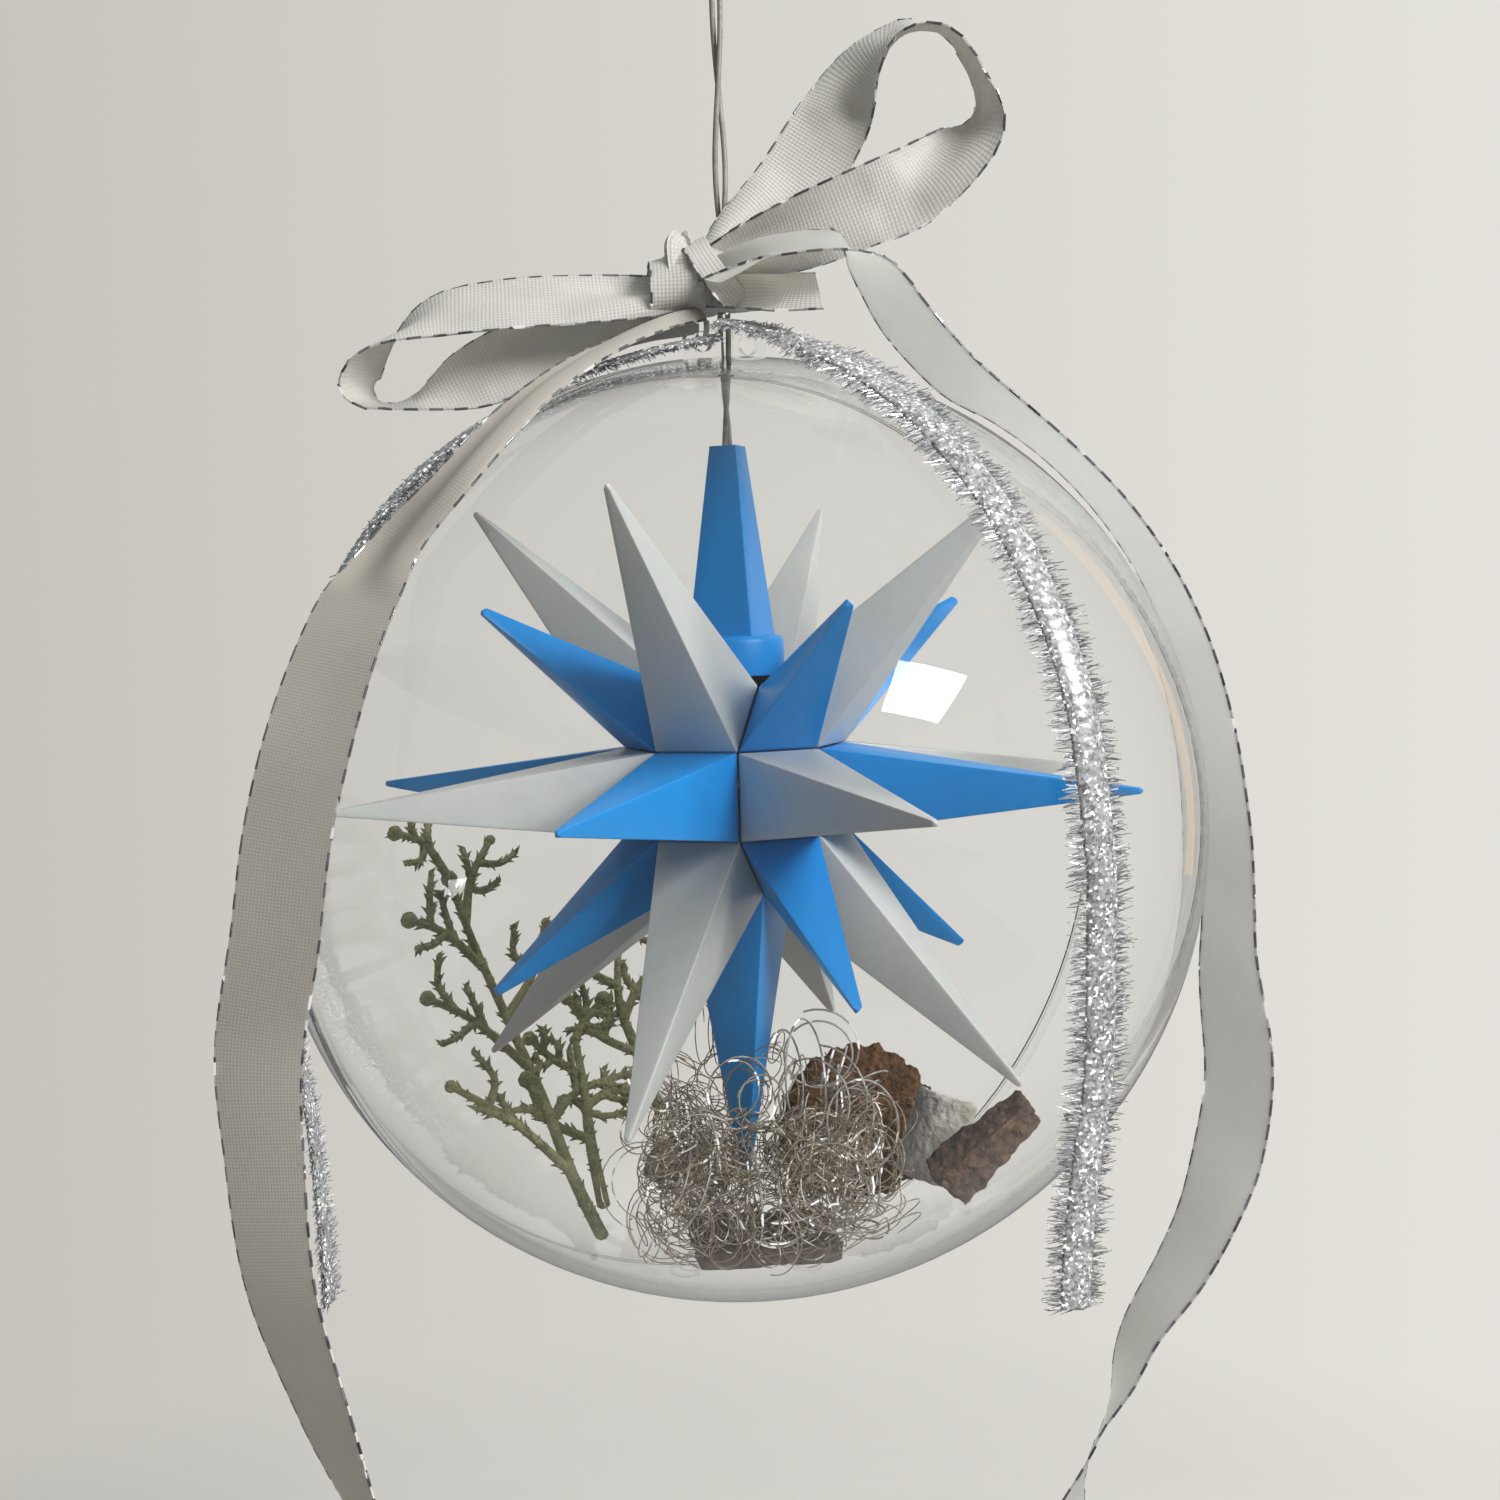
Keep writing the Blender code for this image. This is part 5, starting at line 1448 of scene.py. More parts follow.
@dataclass
class Ribbon:
    """The woven ribbon: two bow loops, a cut end, two long tails, the knot and the tie through the ear."""

    width: float = 12.0 * MM
    thickness: float = 0.3 * MM
    columns: int = 14
    pleats: float = 1.0
    stitch_place: float = 0.98
    stitch_pitch: float = 3.8 * MM
    stitch_length: float = 2.3 * MM
    stitch_radius: float = 0.21 * MM
    edge_thread: float = 0.11 * MM
    cut_slant: float = -3.0 * MM
    fold_gap: float = 0.35 * MM
    fold_turn: float = 0.7 * MM
    knot_height: float = 85.5
    bow_steps: int = 8
    tail_steps: int = 6
    satin: WovenSatin = WovenSatin("ribbon_weave_satin")
    # A copy of the satin with painted light, paler and more see-through, for the right tail.
    back: WovenSatin = WovenSatin("ribbon_weave_back", (0.92, 0.92, 0.90), (0.82, 0.82, 0.80), 26.0, 0.68, 0.2)
    # A copy of the satin with painted shade, darker and warmer, for the left tail; painted light pales its
    # hanging end.
    fold: WovenSatin = WovenSatin(
        "ribbon_weave_shade", (0.59, 0.555, 0.49), (0.53, 0.495, 0.435), 26.0, 0.18, 0.2, hanging=1.0
    )
    thread: BrightMetal = BrightMetal("ribbon_thread", (0.45, 0.45, 0.46), (0.03, 0.03, 0.033), 420.0, 0.5, 0.6)
    edges: list[list[Vector]] = field(default_factory=list)

    LEFT_LOOP = (
        (-8, -5.5, 9.4, 0, 0.4, 0.5), (-13, -6.3, 9.2, 0, 0.6, 0.62), (-22, -7.7, 8.8, 0.05, 0.7, 0.7),
        (-34, -8.7, 8.2, 0.05, 0.68, 0.72), (-45, -8.5, 6.5, 0.15, 0.74, 0.65),
        (-53, -8, 2, 0.4, 0.85, 0.33), (-56.5, -7, -3, 0.35, 0.93, 0.1), (-54, -6, -6.3, 0.1, 0.99, 0.1),
        (-48, -5, -6, -0.1, 0.95, 0.3), (-40, -4, -2.6, -0.3, 0.5, 0.8), (-30, -3.2, 1.6, -0.2, 0.25, 0.92),
        (-18, -2.4, 5.2, -0.1, 0.2, 0.7), (-12, -2.2, 6.6, 0, 0.12, 0.5), (-8, -2.2, 7.6, 0, 0.1, 0.35),
    )
    RIGHT_LOOP = (
        (-1, -4.5, 13.6, 0.52, 0, -0.3), (3.5, -2.6, 18.6, 0.74, -0.02, -0.42),
        (11.0, -0.2, 26.3, 0.87, 0.02, -0.49), (17.6, 1.6, 36.2, 0.88, -0.05, -0.45),
        (20.9, 1.2, 42.3, 0.66, -0.62, -0.38), (25.2, -1.5, 47.0, 0.3, -0.88, -0.35),
        (30, -4.5, 48.9, 0.15, -0.94, -0.28), (36, -7, 46.6, 0.05, -0.98, -0.15),
        (40, -8, 39.5, 0.05, -0.99, -0.1), (38.8, -9.5, 32, 0.4, -0.7, -0.55),
        (29.5, -11, 24.2, 0.5, 0.12, -0.84), (20.8, -11.5, 20.6, 0.5, 0.2, -0.82),
        (12.5, -10.5, 17.6, 0.42, 0.2, -0.8), (4, -8, 15.2, 0.32, 0.1, -0.62),
        (-1, -6.5, 13.6, 0.25, 0, -0.45),
    )
    CUT_END = (
        (-1.5, -8, 8.8, 0, 0.38, 0.26), (3, -11.4, 8.6, 0, 0.6, 0.4), (9, -14.3, 8.2, 0, 0.84, 0.54),
        (14.5, -16.9, 7.8, 0.05, 0.85, 0.52),
    )
    LEFT_TAIL = (
        (-128, 85, 5.6, 0, 0.4), (-132, 78.5, 5, 0, 0.75), (-134, 70, 4.2, 0, 0.9),
        (-133, 60, 3.6, 0, 0.86), (-133, 52, 3.2, 3, 0.84), (-134, 44, 3, 4, 0.86),
        (-137, 36, 3.2, 10, 0.92), (-136, 29, 5.1, 24, 1), (-135, 22, 6.6, 30, 1), (-135, 13, 7.8, 40, 1),
        (-136, 4, 8.8, 43, 1), (-137, -5, 10.4, 46, 1), (-139, -15, 14.6, 46, 1), (-139, -23, 18.9, 36, 1),
        (-138, -33, 27, 26, 1), (-136, -42, 34.6, 14, 1), (-134, -48, 41.5, 2, 1), (-131, -53, 49.2, -6, 1),
    )
    RIGHT_TAIL = (
        (-105.9, 85.2, 12.5, -24, 0.55), (-78.8, 81.6, 14.3, -22, 0.8), (-65.8, 79.1, 16.3, -18, 0.96),
        (-54.6, 76.4, 17.6, -16, 1), (-45.9, 73.7, 18.1, -6, 1), (-37, 71.2, 14.8, 30, 1),
        (-30.4, 67.4, 9.4, 44, 1), (-25, 61, 5, 42, 1), (-21, 55, 4, 30, 1), (-16, 48, 3.5, 24, 1),
        (-10, 40, 3.3, 22, 1), (-6, 31, 3.2, 22, 1), (-3, 21, 3.2, 23, 1), (-1, 10, 3.3, 25, 1),
        (0, -1, 4.2, 29, 1), (-1, -10, 5.6, 31, 1), (-1, -18, 8.4, 38, 1), (-3, -27, 15, 49, 1),
        (-4, -34, 19.6, 51, 1), (-6, -40, 22.7, 38, 1), (-8, -46, 25.4, 29, 1), (-11, -52, 28, 16, 1),
        (-13, -56, 32.6, 6, 1), (-14, -60, 38, -12, 1), (-17, -64, 44.6, -25, 1), (-18, -68, 55.9, -40, 1),
    )
    KNOT_BAND = (
        (-7.9, 1.6, 0.0, 0.6, 0, 0.2), (-7.8, 0.6, 2.6, 0.64, 0, 0.2), (-7.5, -3.0, 4.3, 0.68, 0, 0.22),
        (-7.1, -7.2, 3.6, 0.7, 0, 0.24), (-6.8, -10.0, 0.4, 0.72, 0, 0.24),
        (-6.8, -9.8, -2.9, 0.72, 0, 0.22), (-7.1, -7.0, -5.2, 0.7, 0, 0.16),
        (-7.5, -2.4, -5.6, 0.66, 0, 0.12), (-7.8, 1.0, -3.4, 0.62, 0, 0.16),
        (-7.9, 1.8, -0.6, 0.62, 0, 0.2),
    )
    KNOT_TURN = (
        (-3.2, 1.0, 2.2, 0.4, 0, 0.1), (-4.2, -1.6, 4.8, 0.34, 0.1, 0.16), (-4.4, -5.4, 6.0, 0.3, 0.1, 0.2),
        (-3.4, -9.2, 3.8, 0.29, 0.1, 0.18), (-1.4, -11.4, 0.4, 0.28, 0, 0.16),
        (0.8, -12.2, -2.6, 0.26, 0, 0.14), (2.4, -11.2, -4.6, 0.26, 0, 0.1), (2.2, -8.0, -5.4, 0.3, 0, 0),
        (1.0, -4.0, -4.8, 0.34, 0, 0),
    )
    KNOT_PEAK = (
        (-6.3, -8.6, -1.8, 0.26, 0.16, 0.0), (-6.8, -7.4, 2.2, 0.28, 0.18, 0.08),
        (-6.9, -6.6, 4.9, 0.28, 0.2, 0.12), (-6.0, -5.6, 5.8, 0.28, 0.22, 0.0),
        (-5.2, -5.0, 4.2, 0.28, 0.2, -0.08), (-4.6, -5.2, 0.4, 0.26, 0.18, 0.0),
    )

    def build(self) -> None:
        """Builds and dresses the ribbon."""
        satin, back, fold = (finish.material() for finish in (self.satin, self.back, self.fold))
        top = BALL_CENTRE + Vector((0, 0, BALL_RADIUS))
        knot = Vector((0, 0, self.knot_height)) * MM + BALL_CENTRE
        for name, stations, slant in (
            ("left_loop", self.LEFT_LOOP, 0.0),
            ("right_loop", self.RIGHT_LOOP, 0.0),
            ("cut_end", self.CUT_END, self.cut_slant),
        ):
            route = self.bow_route(stations, top, self.bow_steps)
            self.strip(f"bow_{name}", *route, satin, "gathered", ["ribbon_knot"], f"ribbon_{name}", slant=slant)
        # The left tail gets the satin's copy with painted shade, the right tail its copy with painted light.
        tails = (("left_tail", self.LEFT_TAIL, fold), ("right_tail", self.RIGHT_TAIL, back))
        for name, stations, shown in tails:
            route = self.tail_route(stations, self.tail_steps)
            self.strip(name, *route, shown, "hung", ["front_shell"], f"ribbon_{name}")
        for name, stations, sewn in (
            ("knot_band", self.KNOT_BAND, True),
            ("knot_turn", self.KNOT_TURN, True),
            ("knot_peak", self.KNOT_PEAK, False),
        ):
            route = self.bow_route(stations, knot, self.tail_steps)
            self.strip(name, *route, satin, "folded", ["front_shell"], folded=True, sewn=sewn)
        for name, node in (("knot_core", "ribbon_knot"), ("ear_tie", "ribbon_tie")):
            made = from_bmesh(name, merged(node), satin, sharp=80)
            self.map_plainly(made)
            dress(made, Body.BAUBLE, Slot.RIBBON_SATIN, node)
        self.stitch()

    def map_plainly(self, obj: Object) -> None:
        """Gives a small ribbon piece a plain UV map in ribbon widths.

        Args:
            obj: The piece.
        """
        layer = obj.data.uv_layers.new(name="UVMap")
        for loop in obj.data.loops:
            place = obj.data.vertices[loop.vertex_index].co
            layer.data[loop.index].uv = (place.x / self.width, place.z / self.width)

    def bow_route(self, stations: Sequence, zero: Vector, per_span: int) -> Route:
        """A strip's route through the bow.

        Args:
            stations: Its middle in millimetres, and the way from there to one edge in half widths.
            zero: Where the stations are measured from.
            per_span: How many points are read between two stations.

        Returns:
            The strip's middle, and the way from there to one edge, at each point.
        """
        centres = spline([Vector(station[:3]) * MM + zero for station in stations], per_span)
        acrosses = spline([station[3:] for station in stations], per_span)
        return centres, [across * self.width / 2 for across in acrosses]

    def tail_route(self, stations: Stations, per_span: int) -> Route:
        """A strip's route down beside the ball.

        Args:
            stations: As for beside_route, and the share of the ribbon's width that shows.
            per_span: How many points are read between two stations.

        Returns:
            The strip's middle, and the way from there to one edge, at each point.
        """
        centres, directions = beside_route(stations, per_span)
        shares = [value.x for value in spline([(station[4], 0, 0) for station in stations], per_span)]
        return centres, [way * share * self.width / 2 for way, share in zip(directions, shares)]

    def strip(
        self, name: str, centres: Points, acrosses: Points, satin: Material, held: str,
        rests_on: list[str], node: str | None = None, slant: float = 0.0, folded: bool = False,
        sewn: bool = True,
    ) -> None:
        """One length of ribbon. Where it is drawn in narrower than it is cut, it lies in pleats or is folded.

        Args:
            name: The piece's name.
            centres: The strip's middle.
            acrosses: From its middle to one edge.
            satin: Its material.
            held: How the sheet is held. Not used.
            rests_on: What it lies on.
            node: The CAD node that it stands for.
            slant: How far one edge is cut back at its end, and the other left long.
            folded: Whether its spare width is turned under, and not pleated.
            sewn: Whether the thread along its edges shows.
        """
        points, uvs = [], []
        reach = 0.0
        mean = 2 * sum(across.length for across in acrosses) / len(acrosses)
        left, right = [], []
        for i, (centre, across, along) in enumerate(zip(centres, acrosses, tangents(centres))):
            reach += (centre - centres[i - 1]).length if i else 0.0
            way = (across - along * across.dot(along)).normalized()
            lift = along.cross(way).normalized()
            cut = along * slant * (i / (len(centres) - 1)) ** 3
            row = self.folded_row(mean) if folded else self.pleated_row(2 * across.length)
            count = len(row)
            for side in (0.5, -0.5):
                for column, (place, up, lean, rise) in enumerate(row):
                    skew = cut * (2 * column / (count - 1) - 1)
                    side_step = (way * lean + lift * rise) * side * self.thickness
                    points.append(centre + way * place + lift * up + skew + side_step)
                    uvs.append((column / (count - 1), reach / self.width))
            for edge, (place, up, lean, rise), turn in ((left, row[-1], 1), (right, row[0], -1)):
                edge.append(centre + (way * place + lift * up + cut * turn) * self.stitch_place)
        if sewn:
            shown = [right] if folded else [left, right]
            self.edges += [trimmed(edge, self.stitch_length / 2) for edge in shown]
        obj = mesh_object(name, points, self.strip_faces(len(centres), count), satin)
        layer = obj.data.uv_layers.new(name="UVMap")
        for loop in obj.data.loops:
            layer.data[loop.index].uv = uvs[loop.vertex_index]
        obj.data.set_sharp_from_angle(angle=radians(60))
        dress(obj, Body.BAUBLE, Slot.RIBBON_SATIN, node)
        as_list(rests_on)

    def pleated_row(self, drawn: float) -> list[Row]:
        """The ribbon's cross-section where it is drawn in to a width, with its spare width in pleats.

        Args:
            drawn: The width that shows.

        Returns:
            For each column its place across and up, and the way that its thickness goes.
        """
        height = drawn / (pi * self.pleats) * sqrt(max(self.width / drawn - 1, 0.0))
        steps = [2 * column / self.columns - 1 for column in range(self.columns + 1)]
        return [(u * drawn / 2, height * sin(pi * self.pleats * u), 0.0, 1.0) for u in steps]

    def folded_row(self, drawn: float) -> list[Row]:
        """The ribbon's cross-section where its spare width is turned under, back and forth.

        Args:
            drawn: The width that shows.

        Returns:
            For each column its place across and up, and the way that its thickness goes.
        """
        columns = 2 * self.columns
        row = []
        for column in range(columns + 1):
            layer, along = divmod(self.width * column / columns, drawn)
            turn = -1.0 if layer % 2 else 1.0
            near = max(1 - min(along, drawn - along) / self.fold_turn, 0.0)
            outward = 1.0 if along > drawn / 2 else -1.0
            lean = 0.9 * near * outward * turn if layer or along > drawn / 2 else 0.0
            depth = self.fold_gap * (layer + along / drawn)
            row.append((turn * (along - drawn / 2), -depth, lean, turn * sqrt(1 - lean * lean)))
        return row

    def strip_faces(self, rows: int, count: int) -> list[tuple[int, ...]]:
        """Faces of a closed strip whose points run row by row, first the upper side and then the lower.

        Args:
            rows: How many rows there are.
            count: How many points one side of a row has.

        Returns:
            The point numbers of each face.
        """
        faces = []
        row = 2 * count
        for i in range(rows - 1):
            here, there = i * row, (i + 1) * row
            for j in range(count - 1):
                faces.append((here + j, here + j + 1, there + j + 1, there + j))
                low, next_low = here + count + j, there + count + j
                faces.append((low + 1, low, next_low, next_low + 1))
            faces.append((here + count, here, there, there + count))
            last, next_last = here + count - 1, there + count - 1
            faces.append((last, last + count, next_last + count, next_last))
        for here, turned in ((0, False), ((rows - 1) * row, True)):
            for j in range(count - 1):
                face = (here + j, here + count + j, here + count + j + 1, here + j + 1)
                faces.append(face[::-1] if turned else face)
        return faces

    def stitch(self) -> None:
        """The metal thread along both edges of every length, with a raised dash at each stitch."""
        source = path_curves("stitch_source", [(edge, None) for edge in self.edges])
        values = {"Pitch": self.stitch_pitch, "Length": self.stitch_length, "Radius": self.stitch_radius}
        values |= {"Thread": self.edge_thread, "Seed": 4, "Material": self.thread.material()}
        stitches = grown(source, stitch_tree(), values, "ribbon_stitches")
        dress(stitches, Body.BAUBLE, Slot.TINSEL_SILVER)


def stitch_tree() -> Tree:
    """Dashes of thread along curves, with a fine thread between them.

    Returns:
        A Geometry Nodes tree.
    """
    sheet, given, result = new_grower("thread_stitches", ("Pitch", "Length", "Radius", "Thread"), ("Seed",))
    curves = given["Geometry"]
    slots = {"Vertices": 8, "Radius": given["Radius"], "Depth": given["Length"]}
    dash = sheet.first("GeometryNodeMeshCylinder", slots)
    turn = sheet.aimed(sheet.first("GeometryNodeInputTangent"))
    scale = sheet.stretched(sheet.drawn(0.8, 1.15, given["Seed"]))
    dashes = sheet.copies(sheet.along(curves, given["Pitch"]), dash, {"Rotation": turn, "Scale": scale})
    return finished(sheet, sheet.joined(dashes, sheet.tube(curves, 5, given["Thread"])), given, result)


# The tinsel


@dataclass
class Tinsel:
    """Two lengths of tinsel braid: a flat foil core with a dense fringe of strands."""

    core_width: float = 4.8 * MM
    core_thickness: float = 1.3 * MM
    core_sides: int = 12
    ripple: Pair = (0.12, 2.2)
    route_steps: int = 40
    step: float = 0.36 * MM
    strands: int = 14
    reach: float = 3.0 * MM
    strand_width: float = 0.11 * MM
    foil: BrightMetal = BrightMetal("tinsel_foil", (0.95, 0.96, 0.97), (0.055, 0.055, 0.06), 500.0, 0.4, 0.4)
    weave: BrightMetal = BrightMetal("tinsel_weave", (0.97, 0.98, 0.98), (0.07, 0.07, 0.075), 2600.0, 0.15, 0.7)

    RIGHT = (
        (-92, 80.5, 5.2, 0), (-66, 77.5, 4.2, -8), (-54, 73.5, 2.6, -14), (-50.5, 66, 2.0, -18),
        (-51.5, 53, 2.0, -18), (-51, 37, 2.0, -18), (-50.5, 19, 2.0, -18), (-50.5, 2, 2.0, -18),
        (-50, -9, 2.4, -18), (-50, -21, 6, -18), (-51, -28, 9.6, -18), (-52, -34, 14.4, -18),
        (-52.5, -39.5, 20.5, -16),
    )
    LEFT = (
        (-93, 80.5, 3.0, 0), (-133, 75.5, 1.8, 0), (-146, 66, 1.4, 0), (-152.5, 53, 1.4, 0),
        (-153.5, 40, 1.4, 0), (-152.5, 24, 1.4, 0), (-151.5, 8, 1.8, -8), (-151, -5, 2.4, -18),
        (-149.5, -17, 3.8, -26), (-148.5, -26, 7, -30), (-148, -34, 12.8, -32), (-147.5, -41.5, 21.5, -34),
    )

    def build(self) -> None:
        """Builds and dresses both lengths."""
        foil, weave = self.foil.material(), self.weave.material()
        for name, stations, seed in (("tinsel_right", self.RIGHT, 11), ("tinsel_left", self.LEFT, 12)):
            self.braid(name, stations, seed, foil, weave)

    def braid(self, name: str, stations: Stations, seed: int, foil: Material, weave: Material) -> None:
        """One length of braid with its fringe.

        Args:
            name: The CAD node that it stands for.
            stations: Its route beside the ball.
            seed: Which random strands it has.
            foil: The strands' material.
            weave: The core's material.
        """
        centres, directions = beside_route(stations, self.route_steps)
        frames = []
        for centre, across, along in zip(centres, directions, tangents(centres)):
            side = (across - along * across.dot(along)).normalized()
            frames.append((centre, side, along.cross(side), along))
        core = self.core(f"{name}_core", frames, weave)
        fringe = self.fringe(f"{name}_fringe", frames, seed, foil)
        dress(core, Body.BAUBLE, Slot.TINSEL_SILVER, name)
        dress(fringe, Body.BAUBLE, Slot.TINSEL_SILVER)
        route_length(centres)

    def core(self, name: str, frames: Sequence[tuple], weave: Material) -> Object:
        """The flat braided core, with a ripple of crossing strands.

        Args:
            name: The piece's name.
            frames: Its middle, and the ways across it, out of it and along it, at each point.
            weave: Its material.

        Returns:
            The object.
        """
        turns = [tau * k / self.core_sides for k in range(self.core_sides)]
        size, pace = self.ripple
        rings = []
        for i, (centre, side, lift, along) in enumerate(frames):
            ripple = 1 + size * sin(pace * i)
            ring = []
            for angle in turns:
                wide = self.core_width / 2 * cos(angle)
                high = self.core_thickness / 2 * sin(angle) * ripple
                ring.append(centre + side * wide + lift * high)
            rings.append(ring)
        return skinned(name, rings, weave)

    def fringe(self, name: str, frames: Sequence[tuple], seed: int, foil: Material) -> Object:
        """The strands, grown from points along the core.

        Args:
            name: The piece's name.
            frames: As for core.
            seed: Which random strands it has.
            foil: Its material.

        Returns:
            The object.
        """
        chosen = []
        gone = self.step
        for i, row in enumerate(frames):
            gone += (row[0] - frames[i - 1][0]).length if i else 0.0
            if gone >= self.step:
                chosen.append(row)
                gone = 0.0
        places, across, lift, along = zip(*chosen)
        source = scattered("fringe_source", places, {"across": across, "lift": lift, "along": along})
        values = {"Strands": self.strands, "Core": self.core_width / 2, "Reach": self.reach}
        values |= {"Width": self.strand_width, "Seed": seed, "Material": foil}
        return grown(source, fringe_tree(), values, name)


@functools.cache
def fringe_tree() -> Tree:
    """Strands of foil that stand out from both sides of a braid.

    Returns:
        A Geometry Nodes tree.
    """
    sheet, given, result = new_grower("foil_fringe", ("Core", "Reach", "Width"), ("Strands", "Seed"))

    def drawn(low: float, high: float, more: int) -> Socket:
        """A random number for each strand."""
        return sheet.drawn(low, high, sheet.sum("ADD", given["Seed"], float(more)))

    slots = {"Geometry": given["Geometry"], "Amount": given["Strands"]}
    many = sheet.first("GeometryNodeDuplicateElements", slots, domain="POINT")
    across, lift, along = (sheet.stored(label) for label in ("across", "lift", "along"))
    start = drawn(-1.0, 1.0, 100)
    aim = sheet.scaled(across, sheet.sum("SIGN", start))
    aim = sheet.vector("ADD", aim, sheet.scaled(lift, drawn(-0.1, 0.4, 200)))
    aim = sheet.vector("ADD", aim, sheet.scaled(along, drawn(-0.3, 0.3, 300)))
    offset = sheet.scaled(across, sheet.sum("MULTIPLY", start, given["Core"]))
    uneven = sheet.sum("MULTIPLY", drawn(-0.1, 0.1, 400), given["Core"])
    offset = sheet.vector("ADD", offset, sheet.scaled(along, uneven))
    moved = sheet.first("GeometryNodeSetPosition", {"Geometry": many, "Offset": offset})
    tip = sheet.sum("MULTIPLY", given["Width"], 0.6)
    slots = {"Vertices": 3, "Radius Top": tip, "Radius Bottom": given["Width"], "Depth": 1.0}
    strand = sheet.first("GeometryNodeMeshCone", slots, fill_type="NONE")
    scale = sheet.stretched(sheet.sum("MULTIPLY", given["Reach"], drawn(0.55, 1.08, 500)))
    strands = sheet.copies(moved, strand, {"Rotation": sheet.aimed(aim), "Scale": scale})
    return finished(sheet, sheet.shiny(strands, sheet.sum("ADD", given["Seed"], 600.0)), given, result)


# The trimmings in the bottom of the ball


@dataclass(frozen=True)
class Heap:
    """A heap of wire curls along a ring about the ball's axis, in millimetres and degrees from its centre.

    One that the CAD model has too stands for its solid.
    """

    name: str
    in_cad: bool
    ring: float
    size: float
    heights: Pair
    arc: Pair
    count: int
    seed: int
    wire: float
    finish: BrightMetal


@dataclass(frozen=True)
class Scrap:
    """A piece of bark, wood or lichen, with how often it is cut finer and worn, and how rough it is."""

    node: str
    name: str
    finish: DryMatter
    slot: Slot
    cuts: int
    wear: int
    depth: float
    grain: float


